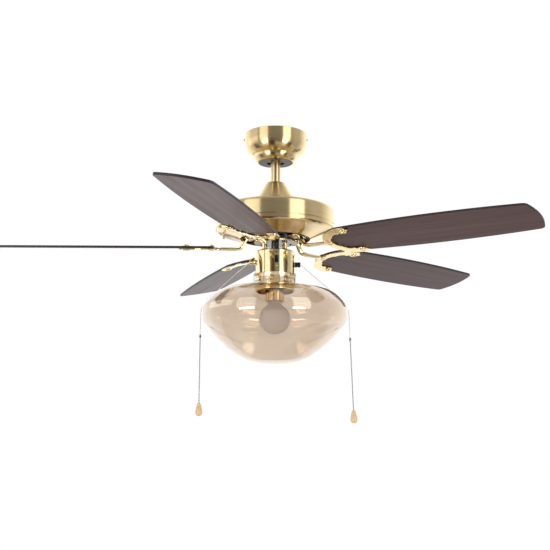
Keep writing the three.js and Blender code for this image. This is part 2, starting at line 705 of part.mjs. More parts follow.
// The bar from the foot down to the crescent's middle screw.
function stem(footTop) {
  const end = CRESCENT_CENTRE - MIDDLE_BOSS_DISTANCE;
  const high = footTop - STEM_THICK / 2 - 1.2; // sunk, because the bend swells above its straight lead-in
  const low = CRESCENT_Z + (STEM_THICK - CRESCENT_THICK) / 2;
  const route = [
    [FOOT_INNER_RADIUS + 10, 0, high],
    [FOOT_OUTER_RADIUS - 6, 0, high],
    [FOOT_OUTER_RADIUS + 3, 0, high - 6],
    [FOOT_OUTER_RADIUS + 9, 0, low + 8],
    [FOOT_OUTER_RADIUS + 20, 0, low + 1],
    [end - 30, 0, low],
    [end - BOSS_RADIUS - 1, 0, low],
  ];
  const path = new THREE.CatmullRomCurve3(route.map((p) => new THREE.Vector3(...p)), false, "centripetal");
  const section = new THREE.Shape();
  const [a, b] = [STEM_WIDTH / 2, STEM_THICK / 2];
  const corner = 2;
  section.moveTo(-a + corner, -b);
  section.lineTo(a - corner, -b);
  section.lineTo(a, -b + corner);
  section.lineTo(a, b - corner);
  section.lineTo(a - corner, b);
  section.lineTo(-a + corner, b);
  section.lineTo(-a, b - corner);
  section.lineTo(-a, -b + corner);
  section.closePath();
  return solid(new THREE.ExtrudeGeometry(section, { steps: 10, extrudePath: path, bevelEnabled: false }));
}

// The blade's outline in its own frame: a round root inside the crescent, bulging sides and a bulging tip.
function bladeOutline() {
  const outline = new THREE.Shape();
  const rootRadius = CRESCENT_OUTER_RADIUS - 4;
  const rootEnd = radians(84);
  const start = [-rootRadius * Math.cos(rootEnd), -rootRadius * Math.sin(rootEnd)];
  const tipHalf = BLADE_TIP_WIDTH / 2;
  const cornerX = BLADE_TIP_RADIUS - BLADE_TIP_BULGE - CRESCENT_CENTRE;
  const corner = BLADE_CORNER_RADIUS;
  const middleX = (start[0] + cornerX) / 2;
  const middleY = (-start[1] + tipHalf) / 2 + 2 * BLADE_SIDE_BULGE;
  outline.moveTo(...start);
  outline.quadraticCurveTo(middleX, -middleY, cornerX - corner, -tipHalf);
  outline.quadraticCurveTo(cornerX, -tipHalf + 1.5, cornerX + 1.5, -tipHalf + corner);
  outline.quadraticCurveTo(cornerX + 2 * BLADE_TIP_BULGE, 0, cornerX + 1.5, tipHalf - corner);
  outline.quadraticCurveTo(cornerX, tipHalf - 1.5, cornerX - corner, tipHalf);
  outline.quadraticCurveTo(middleX, middleY, start[0], -start[1]);
  outline.absarc(0, 0, rootRadius, Math.PI - rootEnd, Math.PI + rootEnd, false);
  return outline;
}

function blade() {
  const low = CRESCENT_THICK / 2 + GAP;
  return solid(plate(bladeOutline(), BLADE_THICK, low, 6).applyMatrix4(bladeFrame));
}

const ironBody = iron();
const bladeBody = blade();
for (let i = 0; i < BLADES; i += 1) {
  const arm = new THREE.Group();
  arm.rotation.z = radians(FIRST_BLADE_DEGREES + (360 / BLADES) * i);
  fan.add(arm);
  add(`blade_iron_${i + 1}`, ironBody, polishedBrass, arm);
  add(`blade_${i + 1}`, bladeBody, darkWood, arm);
}

// ---------- Plate, posts and leads under the motor ----------
function aroundAxis(radius, degrees) {
  return [radius * Math.cos(radians(degrees)), radius * Math.sin(radians(degrees))];
}

const leadOffsets = [-LEAD_SPACING, 0, LEAD_SPACING];
const leadHoleHalf = LEAD_SPACING + LEAD_RADIUS + 1;

function leadHole(low, high) {
  return block(-leadHoleHalf, leadHoleHalf, LEAD_Y - LEAD_RADIUS - 1, LEAD_Y + LEAD_RADIUS + 1, low, high);
}

function lowerPlate() {
  const disc = ring(SHAFT_RADIUS + GAP, PLATE_RADIUS, plateBottom, PLATE_TOP, FINE);
  return disc.subtract(leadHole(plateBottom - 1, PLATE_TOP + 1));
}

function motorLeads() {
  return joined(leadOffsets.map((x) => barZ(LEAD_RADIUS, HOUSING_TOP - 14, PLATE_TOP + 4, x, LEAD_Y, 10)));
}

add("lower_plate", lowerPlate(), polishedBrass);
for (let i = 0; i < 3; i += 1) {
  const [x, y] = aroundAxis(POST_CIRCLE_RADIUS, FIRST_POST_DEGREES + 120 * i);
  add(`housing_post_${i + 1}`, barZ(POST_RADIUS, HOUSING_TOP + GAP, plateBottom - GAP, x, y), polishedBrass);
}
add("motor_leads", motorLeads(), blackPlastic);

// ---------- Switch housing and what it holds ----------
const housingBore = HOUSING_RADIUS - HOUSING_SHEET;
const glassScrewTurns = [0, 1, 2].map((i) => radians(FIRST_GLASS_SCREW_DEGREES + 120 * i));

// A bar that runs straight out from the axis at an angle.
function radialBar(radius, from, to, z, angle, sides = 12) {
  const bar = rod(radius, to - from, sides).rotateY(Math.PI / 2).translate((from + to) / 2, 0, z);
  return solid(bar.rotateZ(angle));
}

function screwHoles(from, to) {
  return glassScrewTurns.map((angle) => radialBar(GLASS_SCREW_RADIUS + GAP, from, to, GLASS_SCREW_Z, angle));
}

const housingLine = [
  [SHAFT_RADIUS + 2, HOUSING_TOP],
  [HOUSING_RADIUS - HOUSING_ROUND, HOUSING_TOP],
  [HOUSING_RADIUS - 1, HOUSING_TOP - 1],
  [HOUSING_RADIUS, HOUSING_TOP - HOUSING_ROUND],
  [HOUSING_RADIUS, HOUSING_BOTTOM],
];

function switchHousing() {
  const slotBottom = SLOT_TOP - SLOT_HEIGHT;
  const reach = HOUSING_RADIUS + 2;
  return cut(shell(housingLine, HOUSING_SHEET), [
    block(SLOT_X - SLOT_WIDTH / 2, SLOT_X + SLOT_WIDTH / 2, -reach, -reach + 8, slotBottom, SLOT_TOP),
    barY(SMALL_HOLE_RADIUS, -reach, -reach + 8, SLOT_X, SLOT_TOP + SMALL_HOLE_RISE, 10),
    leadHole(HOUSING_TOP - 4, HOUSING_TOP + 1),
    barX(FERRULE_BORE_RADIUS + 2, -reach, -reach + 8, SPEED_FERRULE_Z, 14),
    barX(FERRULE_BORE_RADIUS + 2, reach - 8, reach, LIGHT_FERRULE_Z, 14),
    ...screwHoles(housingBore - 2, HOUSING_RADIUS + 2),
  ]);
}

// A switch body just inside the wall, where its ferrule passes through.
function pullSwitch(side, z, length, radius) {
  const outer = housingBore - SWITCH_WALL_GAP;
  return barX(radius, side * (outer - length), side * outer, z, 16);
}

// The bell mouth that the speed cord leaves by: its bore opens towards the string.
function speedFerrule() {
  const inner = HOUSING_RADIUS + GAP;
  const bell = turned([
    [FERRULE_BORE_RADIUS, inner],
    [SPEED_FERRULE_RADIUS - 1.6, inner],
    [SPEED_FERRULE_RADIUS - 2.4, inner + 4],
    [SPEED_FERRULE_RADIUS, FERRULE_REACH - 4],
    [SPEED_FERRULE_RADIUS, FERRULE_REACH - 1.5],
    [SPEED_FERRULE_RADIUS - 2, FERRULE_REACH],
    [FERRULE_BORE_RADIUS, FERRULE_REACH],
  ]);
  return solid(geometryOf(bell).rotateY(-Math.PI / 2).translate(0, 0, SPEED_FERRULE_Z));
}

// The threaded nipple and its nut that the light cord leaves by.
function lightFerrule() {
  const inner = HOUSING_RADIUS + GAP;
  const nut = barX(LIGHT_FERRULE_RADIUS, inner, inner + LIGHT_NUT_THICK, LIGHT_FERRULE_Z, 6);
  const nipple = barX(LIGHT_FERRULE_RADIUS - 0.5, inner + 1, FERRULE_REACH, LIGHT_FERRULE_Z, 16);
  const bore = barX(FERRULE_BORE_RADIUS, inner - 1, FERRULE_REACH + 1, LIGHT_FERRULE_Z, 12);
  return nut.add(nipple).subtract(bore);
}

function reverseSlider() {
  const half = SLOT_WIDTH / 2 - GAP - 0.4;
  const top = SLOT_TOP - 0.5;
  const front = -HOUSING_RADIUS - SLIDER_PROUD;
  return block(SLOT_X - half, SLOT_X + half, front, -HOUSING_RADIUS + SLIDER_DEPTH, top - SLIDER_HEIGHT, top);
}

function reverseSwitch() {
  const front = -HOUSING_RADIUS + SLIDER_DEPTH + GAP;
  const half = REVERSE_SWITCH_WIDTH / 2;
  const bottom = SLOT_TOP - SLOT_HEIGHT - REVERSE_SWITCH_MARGIN;
  return block(SLOT_X - half, SLOT_X + half, front, front + REVERSE_SWITCH_DEPTH, bottom, SLOT_TOP + REVERSE_SWITCH_MARGIN);
}

function capacitor() {
  const half = housingBore - SWITCH_WALL_GAP - LIGHT_SWITCH_LENGTH - CAPACITOR_SIDE_GAP;
  const back = Math.sqrt((housingBore - CAPACITOR_CORNER_GAP) ** 2 - half ** 2);
  const top = HOUSING_TOP - CAPACITOR_DROP;
  return block(-half, half, back - CAPACITOR_DEPTH, back, top - CAPACITOR_HEIGHT, top);
}

add("switch_housing", switchHousing(), polishedBrass);
add("speed_switch", pullSwitch(-1, SPEED_FERRULE_Z, SPEED_SWITCH_LENGTH, SPEED_SWITCH_RADIUS), greyPlastic);
add("light_switch", pullSwitch(1, LIGHT_FERRULE_Z, LIGHT_SWITCH_LENGTH, LIGHT_SWITCH_RADIUS), blackPlastic);
add("capacitor", capacitor(), blackPlastic);
add("reverse_switch", reverseSwitch(), greyPlastic);
add("reverse_slider", reverseSlider(), blackPlastic);
add("speed_ferrule", speedFerrule(), polishedBrass);
add("light_ferrule", lightFerrule(), blackPlastic);

// ---------- Light fitter, lamp and glass bowl ----------
const collarOuter = housingBore - GAP;
const fitterTop = HOUSING_BOTTOM - GAP;
const panTop = HOUSING_BOTTOM - PAN_DROP;
const panBottom = panTop - PAN_THICK;
const ropeRadius = HOUSING_RADIUS + ROPE_PROUD; // the braided band round the fitter

function fitter() {
  const collarTop = HOUSING_BOTTOM + FITTER_COLLAR_HEIGHT;
  const collarInner = collarOuter - FITTER_SHEET;
  const body = turned([
    [WIRE_HOLE_RADIUS, panTop],
    [collarInner, panTop],
    [collarInner, collarTop],
    [collarOuter, collarTop],
    [collarOuter, fitterTop],
    [ropeRadius, fitterTop],
    [ropeRadius, fitterTop - ROPE_HEIGHT],
    [HOUSING_RADIUS, fitterTop - ROPE_HEIGHT - 1],
    [HOUSING_RADIUS, FITTER_BOTTOM + 6],
    [HOUSING_RADIUS + 1, FITTER_BOTTOM + 4],
    [HOUSING_RADIUS + 1, FITTER_BOTTOM],
    [HOUSING_RADIUS - FITTER_SHEET, FITTER_BOTTOM],
    [HOUSING_RADIUS - FITTER_SHEET, panBottom],
    [WIRE_HOLE_RADIUS, panBottom],
  ], FINE);
  return cut(body, screwHoles(collarInner - 2, collarOuter + 2));
}

const collarBore = ropeRadius + GAP;
const collarGlass = collarBore + GLASS_WALL;
const socketTop = panBottom - GAP;
const linerOuter = SOCKET_RADIUS - SOCKET_SHEET - GAP;
const linerTop = socketTop - SOCKET_SHEET - GAP;
const baseTop = SOCKET_BOTTOM + BULB_BASE_LENGTH;

function socketShell() {
  return turned([
    [WIRE_HOLE_RADIUS, socketTop],
    [SOCKET_RADIUS - 2, socketTop],
    [SOCKET_RADIUS, socketTop - 2],
    [SOCKET_RADIUS, SOCKET_BOTTOM],
    [SOCKET_RADIUS - SOCKET_SHEET, SOCKET_BOTTOM],
    [SOCKET_RADIUS - SOCKET_SHEET, socketTop - SOCKET_SHEET],
    [WIRE_HOLE_RADIUS, socketTop - SOCKET_SHEET],
  ]);
}

function socketLiner() {
  const bore = linerOuter - LINER_WALL;
  return turned([
    [0, linerTop],
    [linerOuter, linerTop],
    [linerOuter, SOCKET_BOTTOM + 2],
    [bore, SOCKET_BOTTOM + 2],
    [bore, linerTop - 6],
    [0, linerTop - 6],
  ]);
}

function bulbBase() {
  return turned([
    [0, baseTop],
    [BULB_BASE_RADIUS - 5, baseTop],
    [BULB_BASE_RADIUS, baseTop - 4],
    [BULB_BASE_RADIUS, SOCKET_BOTTOM + 1],
    [0, SOCKET_BOTTOM + 1],
  ]);
}

function bulbGlobe() {
  const points = [[0, SOCKET_BOTTOM + 1 - GAP], [BULB_NECK_RADIUS - 2, SOCKET_BOTTOM + 1 - GAP]];
  const neck = Math.acos((BULB_NECK_RADIUS + 1) / BULB_RADIUS);
  const steps = 8;
  for (let i = 0; i < steps; i += 1) {
    const angle = neck - ((neck + Math.PI / 2) * i) / steps;
    points.push([BULB_RADIUS * Math.cos(angle), BULB_Z + BULB_RADIUS * Math.sin(angle)]);
  }
  points.push([0, BULB_Z - BULB_RADIUS]);
  return turned(points, COARSE + 4);
}

// The bowl's outer line from its collar over the shoulder and round to the bottom.
function glassLine() {
  const drop = GLASS_WIDEST_Z - GLASS_BOTTOM;
  const bowl = [
    [GLASS_RADIUS * 0.58, GLASS_WIDEST_Z + 56],
    [GLASS_RADIUS * 0.808, GLASS_WIDEST_Z + 45],
    [GLASS_RADIUS * 0.956, GLASS_WIDEST_Z + 21],
    [GLASS_RADIUS, GLASS_WIDEST_Z],
    [GLASS_RADIUS * 0.976, GLASS_WIDEST_Z - drop * 0.19],
    [GLASS_RADIUS * 0.854, GLASS_WIDEST_Z - drop * 0.42],
    [GLASS_RADIUS * 0.683, GLASS_WIDEST_Z - drop * 0.65],
    [GLASS_RADIUS * 0.507, GLASS_WIDEST_Z - drop * 0.83],
    [GLASS_RADIUS * 0.336, GLASS_WIDEST_Z - drop * 0.94],
    [GLASS_RADIUS * 0.16, GLASS_WIDEST_Z - drop * 0.987],
    [0, GLASS_BOTTOM],
  ];
  const points = [
    [collarGlass, GLASS_TOP],
    [collarGlass, GLASS_WIDEST_Z + 68],
    [collarGlass + 4, GLASS_WIDEST_Z + 63.5],
  ];
  const curve = new THREE.SplineCurve([points.at(-1), ...bowl].map(([r, z]) => new THREE.Vector2(r, z)));
  const steps = 13;
  for (let i = 1; i <= steps; i += 1) {
    const at = curve.getPointAt(i / steps);
    points.push([i === steps ? 0 : at.x, at.y]);
  }
  return points;
}

function glassShade() {
  const outer = glassLine();
  const inner = offset(outer, -GLASS_WALL);
  inner[0][1] = GLASS_TOP;
  inner.at(-1)[0] = 0;
  inner.at(-1)[1] = GLASS_BOTTOM + GLASS_WALL;
  const wall = [...outer, ...inner.reverse()];
  return cut(turnedCup(wall), screwHoles(collarBore - 1, collarGlass + 1));
}

// A cup's profile leaves the axis twice: its outline runs out and back from the axis with an open mouth.
function turnedCup(points) {
  const start = points.findIndex(([r]) => r === 0);
  const around = [...points.slice(start + 1), ...points.slice(0, start + 1)];
  return turned(around, FINE);
}

function glassScrew(angle) {
  const headInner = collarGlass + GAP;
  const shank = radialBar(GLASS_SCREW_RADIUS, collarOuter - FITTER_SHEET - GLASS_SCREW_REACH, headInner + 1, GLASS_SCREW_Z, angle, 10);
  const head = radialBar(GLASS_SCREW_HEAD_RADIUS, headInner, headInner + GLASS_SCREW_HEAD_THICK, GLASS_SCREW_Z, angle, 14);
  return shank.add(head);
}

add("fitter", fitter(), polishedBrass);
add("socket_shell", socketShell(), polishedBrass);
add("socket_liner", socketLiner(), whitePorcelain);
add("bulb_base", bulbBase(), zincSteel);
add("bulb_globe", bulbGlobe(), pearlGlass);
add("glass_shade", glassShade(), amberGlass);
glassScrewTurns.forEach((angle, i) => add(`glass_screw_${i + 1}`, glassScrew(angle), polishedBrass));

// ---------- Pull cords ----------
// A straight piece along the line from a to b, starting after a clearance.
function alongLine(a, b, make) {
  const [from, to] = [new THREE.Vector3(...a), new THREE.Vector3(...b)];
  const direction = to.clone().sub(from).normalize();
  const turn = new THREE.Quaternion().setFromUnitVectors(new THREE.Vector3(0, 0, -1), direction);
  const start = from.clone().addScaledVector(direction, GAP);
  const length = from.distanceTo(to) - 2 * GAP;
  return solid(make(length).applyQuaternion(turn).translate(start.x, start.y, start.z));
}

function chain(string, end) {
  return alongLine(string.at(-1), end, (length) => rod(CHAIN_RADIUS, length, 8).translate(0, 0, -length / 2));
}

// An egg-shaped grip, slimmer at the top, hung on the line of its chain.
function fob(string, end) {
  const direction = new THREE.Vector3(...end).sub(new THREE.Vector3(...string.at(-1))).normalize();
  const bottom = new THREE.Vector3(...end).addScaledVector(direction, FOB_LENGTH + 2 * GAP);
  const line = [[0, 0], [3.4, 0], [4.6, 0.06], [6.9, 0.34], [FOB_RADIUS, 0.66], [7.6, 0.85], [4.4, 0.97], [0, 1]];
  const egg = (length) => geometryOf(turned(line.map(([r, share]) => [r, -share * length])));
  return alongLine(end, bottom.toArray(), egg);
}

function pull(name, string, end) {
  add(`${name}_string`, tube(string, STRING_RADIUS, 8, 38), whiteCotton);
  add(`${name}_chain`, chain(string, end), chainSteel);
  add(`${name}_fob`, fob(string, end), mapleWood);
}

pull("speed", SPEED_STRING, SPEED_CHAIN_END);
pull("light", LIGHT_STRING, LIGHT_CHAIN_END);

export default fan;
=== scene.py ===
"""A ceiling fan with five blades, a glass bowl light and two pull cords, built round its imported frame.
Metres, +Z up, with the fan's axis on x = y = 0 and the ceiling at z = 0."""

import math

import bmesh
import bpy
from mathutils import Matrix, Vector


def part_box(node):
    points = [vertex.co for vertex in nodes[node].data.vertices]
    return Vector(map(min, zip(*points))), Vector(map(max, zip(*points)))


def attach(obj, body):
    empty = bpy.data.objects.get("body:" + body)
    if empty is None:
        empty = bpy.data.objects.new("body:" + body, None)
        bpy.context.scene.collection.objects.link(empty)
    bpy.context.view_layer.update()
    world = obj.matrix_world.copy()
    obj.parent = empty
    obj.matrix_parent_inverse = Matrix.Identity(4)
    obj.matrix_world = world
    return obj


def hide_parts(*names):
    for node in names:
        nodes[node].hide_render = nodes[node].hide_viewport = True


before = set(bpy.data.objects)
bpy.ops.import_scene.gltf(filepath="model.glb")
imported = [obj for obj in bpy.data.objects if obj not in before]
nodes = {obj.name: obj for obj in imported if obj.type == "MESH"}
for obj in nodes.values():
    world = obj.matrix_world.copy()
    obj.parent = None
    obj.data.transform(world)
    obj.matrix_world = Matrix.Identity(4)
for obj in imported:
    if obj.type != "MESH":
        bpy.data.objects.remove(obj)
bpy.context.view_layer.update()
MM = 0.001
BLADE_COUNT = 5
FIRST_BLADE = math.radians(38.6)
BLADE_PITCH = math.radians(12)
BLADE_DROOP = math.radians(0.6)
TURN_STEPS = 128  # sides of the large spun pieces
SMALL_STEPS = 48
BALL_CENTRE_Z = -36
CANOPY_SCREW_Z = -12
GLASS_SCREW_Z = -357
GLASS_COLLAR_RADIUS = 51.5
SPEED_FERRULE_Z = -321.5
LIGHT_FERRULE_Z = -327.6
FERRULE_REACH = 61.5  # from the axis to each ferrule's mouth
LEAD_SLOT = (-9.1, 9.1, -34.9, -27.1, 2)  # the leads' way through the plate and the housing: sides and corner


# ---------- Camera ----------
def make_camera():
    camera = bpy.data.cameras.new("camera")
    camera.lens = 66.67
    camera.sensor_width = 36
    camera.clip_start = 0.05
    camera.clip_end = 60
    holder = bpy.data.objects.new("camera", camera)
    look_up = Matrix.Rotation(math.radians(90 + 10.84), 4, "X")
    roll = Matrix.Rotation(math.radians(0.3), 4, "Z")
    holder.matrix_world = Matrix.Translation((0, -2.418, -0.8158)) @ look_up @ roll
    bpy.context.scene.collection.objects.link(holder)
    bpy.context.scene.camera = holder


make_camera()


# ---------- Materials ----------
def linear(code):
    """An sRGB hex value as a linear colour."""
    shares = [int(code[i : i + 2], 16) / 255 for i in (1, 3, 5)]
    return [s / 12.92 if s <= 0.04045 else ((s + 0.055) / 1.055) ** 2.4 for s in shares] + [1]


def add(tree, kind, inputs=None, **settings):
    """Adds a node: settings are its properties, inputs the values or sockets that its inputs take."""
    made = tree.nodes.new(kind)
    for key, value in settings.items():
        setattr(made, key, value)
    for key, value in (inputs or {}).items():
        if isinstance(value, bpy.types.NodeSocket):
            tree.links.new(value, made.inputs[key])
        else:
            made.inputs[key].default_value = value
    return made


def stops(ramp, *pairs):
    """Gives a colour ramp its stops: pairs of a place and an sRGB hex value or a grey."""
    elements = ramp.color_ramp.elements
    while len(elements) < len(pairs):
        elements.new(0.5)
    for element, (place, colour) in zip(elements, pairs):
        element.position = place
        element.color = linear(colour) if isinstance(colour, str) else (colour, colour, colour, 1)
    return ramp.outputs["Color"]


def new_material(name, **values):
    """A material with one Principled shader, whose constant sockets are set here."""
    material = bpy.data.materials.new(name)
    material.use_nodes = True
    tree = material.node_tree
    tree.nodes.clear()
    shader = add(tree, "ShaderNodeBsdfPrincipled")
    for key, value in values.items():
        shader.inputs[key.replace("_", " ")].default_value = value
    add(tree, "ShaderNodeOutputMaterial", {"Surface": shader.outputs["BSDF"]})
    return material, tree, shader


def object_place(tree, scale=(1, 1, 1)):
    place = add(tree, "ShaderNodeTexCoord")
    return add(tree, "ShaderNodeMapping", {"Vector": place.outputs["Object"], "Scale": scale}).outputs["Vector"]


def lathe_place(tree, around, along):
    """Coordinates whose pattern runs in rings round the fan's axis: around sets how soon it changes along a ring."""
    place = add(tree, "ShaderNodeTexCoord").outputs["Object"]
    parts = add(tree, "ShaderNodeSeparateXYZ", {0: place})
    flat = add(tree, "ShaderNodeVectorMath", {0: place, 1: (1, 1, 0)}, operation="MULTIPLY")
    radius = add(tree, "ShaderNodeVectorMath", {0: flat.outputs[0]}, operation="LENGTH").outputs["Value"]
    round_the_axis = add(tree, "ShaderNodeVectorMath", {0: flat.outputs[0]}, operation="NORMALIZE").outputs[0]
    ring = add(tree, "ShaderNodeVectorMath", {0: round_the_axis, "Scale": around}, operation="SCALE").outputs[0]
    down = add(tree, "ShaderNodeMath", {0: radius, 1: 0.73, 2: parts.outputs["Z"]}, operation="MULTIPLY_ADD")
    height = add(tree, "ShaderNodeMath", {0: down.outputs[0], 1: along}, operation="MULTIPLY").outputs[0]
    lifted = add(tree, "ShaderNodeCombineXYZ", {"Z": height}).outputs[0]
    return add(tree, "ShaderNodeVectorMath", {0: ring, 1: lifted}, operation="ADD").outputs[0]


def satin_brass():
    """Antique brass plate on spun steel, brushed as it turned in the lathe: rings of fine scratches that draw
    each light out into an upright band with clean sides."""
    material, tree, shader = new_material(
        "brushed_antique_brass_plate", Metallic=1.0, Anisotropic=0.94, Anisotropic_Rotation=0.25
    )
    scratches = add(tree, "ShaderNodeTexNoise", {"Vector": lathe_place(tree, 1.2, 1400), "Scale": 1.0, "Detail": 4.0})
    bands = add(tree, "ShaderNodeTexNoise", {"Vector": lathe_place(tree, 2.0, 160), "Scale": 1.0, "Detail": 2.0})
    cloud = add(tree, "ShaderNodeTexNoise", {"Vector": object_place(tree, (14, 14, 14)), "Scale": 1.0})
    mixed = add(tree, "ShaderNodeMath", {0: scratches.outputs[0], 1: bands.outputs[0]}, operation="ADD")
    half = add(tree, "ShaderNodeMath", {0: mixed.outputs[0], 1: 0.5}, operation="MULTIPLY").outputs[0]
    ramp = add(tree, "ShaderNodeValToRGB", {"Fac": half})
    brushed = stops(ramp, (0.3, "#dac494"), (0.5, "#dfca9c"), (0.72, "#e4d1a6"))
    tone = add(tree, "ShaderNodeValToRGB", {"Fac": cloud.outputs[0]})
    tint = stops(tone, (0.35, "#faf5ec"), (0.7, "#ffffff"))
    colour = add(tree, "ShaderNodeMix", {0: 1.0, 6: brushed, 7: tint}, data_type="RGBA", blend_type="MULTIPLY")
    tree.links.new(colour.outputs[2], shader.inputs["Base Color"])
    rough = add(tree, "ShaderNodeMapRange", {0: half, 1: 0.3, 2: 0.7, 3: 0.2, 4: 0.26})
    tree.links.new(rough.outputs[0], shader.inputs["Roughness"])
    bump = add(tree, "ShaderNodeBump", {"Height": scratches.outputs[0], "Strength": 0.07, "Distance": 0.00003})
    tree.links.new(bump.outputs[0], shader.inputs["Normal"])
    place = add(tree, "ShaderNodeTexCoord").outputs["Object"]
    ring = add(tree, "ShaderNodeVectorMath", {0: (0, 0, 1), 1: place}, operation="CROSS_PRODUCT").outputs[0]
    turned = add(
        tree, "ShaderNodeVectorTransform", {0: ring}, vector_type="VECTOR", convert_from="OBJECT", convert_to="WORLD"
    )
    tree.links.new(turned.outputs[0], shader.inputs["Tangent"])
    return material


def polished_brass():
    """Buffed and lacquered brass: mirror sharp, with faint buffing haze and a few hairlines."""
    material, tree, shader = new_material(
        "polished_lacquered_brass", Metallic=1.0, Coat_Weight=0.1, Coat_Roughness=0.04
    )
    haze = add(tree, "ShaderNodeTexNoise", {"Vector": object_place(tree, (55, 55, 55)), "Scale": 1.0, "Detail": 3.0})
    tone = add(tree, "ShaderNodeValToRGB", {"Fac": haze.outputs[0]})
    tree.links.new(stops(tone, (0.3, "#e2cc98"), (0.7, "#ead6a8")), shader.inputs["Base Color"])
    rough = add(tree, "ShaderNodeMapRange", {0: haze.outputs[0], 1: 0.3, 2: 0.75, 3: 0.07, 4: 0.15})
    tree.links.new(rough.outputs[0], shader.inputs["Roughness"])
    lines = add(tree, "ShaderNodeTexNoise", {"Vector": lathe_place(tree, 3, 900), "Scale": 1.0, "Detail": 2.0})
    bump = add(tree, "ShaderNodeBump", {"Height": lines.outputs[0], "Strength": 0.08, "Distance": 0.00003})
    tree.links.new(bump.outputs[0], shader.inputs["Normal"])
    return material


def speckled(name, low, high, grain_mm, rough, bump_strength=0.2, metal=0.0):
    """A moulded, cast or plated finish: a fine even grain between two tones."""
    material, tree, shader = new_material(name, Metallic=metal)
    scale = 1 / (grain_mm * MM)
    grain = add(tree, "ShaderNodeTexNoise", {"Vector": object_place(tree), "Scale": scale, "Detail": 3.0})
    tone = add(tree, "ShaderNodeValToRGB", {"Fac": grain.outputs[0]})
    tree.links.new(stops(tone, (0.35, low), (0.65, high)), shader.inputs["Base Color"])
    spread = add(tree, "ShaderNodeMapRange", {0: grain.outputs[0], 1: 0.3, 2: 0.7, 3: rough - 0.06, 4: rough + 0.06})
    tree.links.new(spread.outputs[0], shader.inputs["Roughness"])
    bump = add(
        tree,
        "ShaderNodeBump",
        {"Height": grain.outputs[0], "Strength": bump_strength, "Distance": grain_mm * MM * 0.1},
    )
    tree.links.new(bump.outputs[0], shader.inputs["Normal"])
    return material


def walnut():
    """Dark walnut veneer under satin lacquer: long streaks of red brown and near black, open pores, and a sheen
    that turns it grey where it is seen flat on."""
    material, tree, shader = new_material(
        "walnut_veneer_satin_lacquer", IOR=1.33
    )
    grain = add(tree, "ShaderNodeAttribute", attribute_name="grain").outputs["Vector"]
    bend = add(tree, "ShaderNodeTexNoise", {"Vector": grain, "Scale": 5.0, "Detail": 1.0})
    swing = add(tree, "ShaderNodeVectorMath", {0: bend.outputs["Color"], 1: (0, 0.02, 0)}, operation="MULTIPLY")
    waved = add(tree, "ShaderNodeVectorMath", {0: grain, 1: swing.outputs[0]}, operation="ADD").outputs[0]
    wide_place = add(tree, "ShaderNodeMapping", {"Vector": waved, "Scale": (2.2, 55, 10)}).outputs[0]
    fine_place = add(tree, "ShaderNodeMapping", {"Vector": waved, "Scale": (9, 420, 60)}).outputs[0]
    wide = add(tree, "ShaderNodeTexNoise", {"Vector": wide_place, "Scale": 1.0, "Detail": 5.0, "Roughness": 0.6})
    fine = add(tree, "ShaderNodeTexNoise", {"Vector": fine_place, "Scale": 1.0, "Detail": 2.0})
    share = add(tree, "ShaderNodeMix", {0: 0.3, 2: wide.outputs[0], 3: fine.outputs[0]})
    tone = add(tree, "ShaderNodeValToRGB", {"Fac": share.outputs[0]})
    figure = stops(tone, (0.3, "#301310"), (0.45, "#3b1614"), (0.56, "#421a17"), (0.74, "#4e211c"))
    tree.links.new(figure, shader.inputs["Base Color"])
    rough = add(tree, "ShaderNodeMapRange", {0: share.outputs[0], 1: 0.3, 2: 0.7, 3: 0.46, 4: 0.36})
    tree.links.new(rough.outputs[0], shader.inputs["Roughness"])
    bump = add(tree, "ShaderNodeBump", {"Height": fine.outputs[0], "Strength": 0.15, "Distance": 0.0001})
    tree.links.new(bump.outputs[0], shader.inputs["Normal"])
    return material


def bowl_glass():
    """Blown glass with a thin amber lustre fired on: faintly gold, with the drift of colour of a soap film and slow
    waves from blowing. The lustre stops short of the collar, which is left clear."""
    material, tree, shader = new_material(
        "blown_glass_amber_lustre",
        Transmission_Weight=1.0,
        Roughness=0.015,
        IOR=1.52,
        Thin_Film_IOR=1.75,
    )
    drift = add(tree, "ShaderNodeTexNoise", {"Vector": object_place(tree, (9, 9, 14)), "Scale": 1.0, "Detail": 2.0})
    tone = add(tree, "ShaderNodeValToRGB", {"Fac": drift.outputs[0]})
    amber = stops(tone, (0.3, "#e3d4c4"), (0.7, "#ede1d4"))
    height = add(tree, "ShaderNodeSeparateXYZ", {0: object_place(tree)}).outputs["Z"]
    collar = add(tree, "ShaderNodeMapRange", {0: height, 1: -0.392, 2: -0.376, 3: 0.0, 4: 1.0}).outputs[0]
    glass = add(tree, "ShaderNodeMix", {0: collar, 6: amber, 7: linear("#fbf8f3")}, data_type="RGBA")
    tree.links.new(glass.outputs[2], shader.inputs["Base Color"])
    film = add(tree, "ShaderNodeMapRange", {0: drift.outputs[0], 1: 0.3, 2: 0.7, 3: 80.0, 4: 130.0})
    tree.links.new(film.outputs[0], shader.inputs["Thin Film Thickness"])
    waves = add(tree, "ShaderNodeTexNoise", {"Vector": object_place(tree, (22, 22, 50)), "Scale": 1.0})
    bump = add(tree, "ShaderNodeBump", {"Height": waves.outputs[0], "Strength": 0.3, "Distance": 0.0006})
    tree.links.new(bump.outputs[0], shader.inputs["Normal"])
    return material


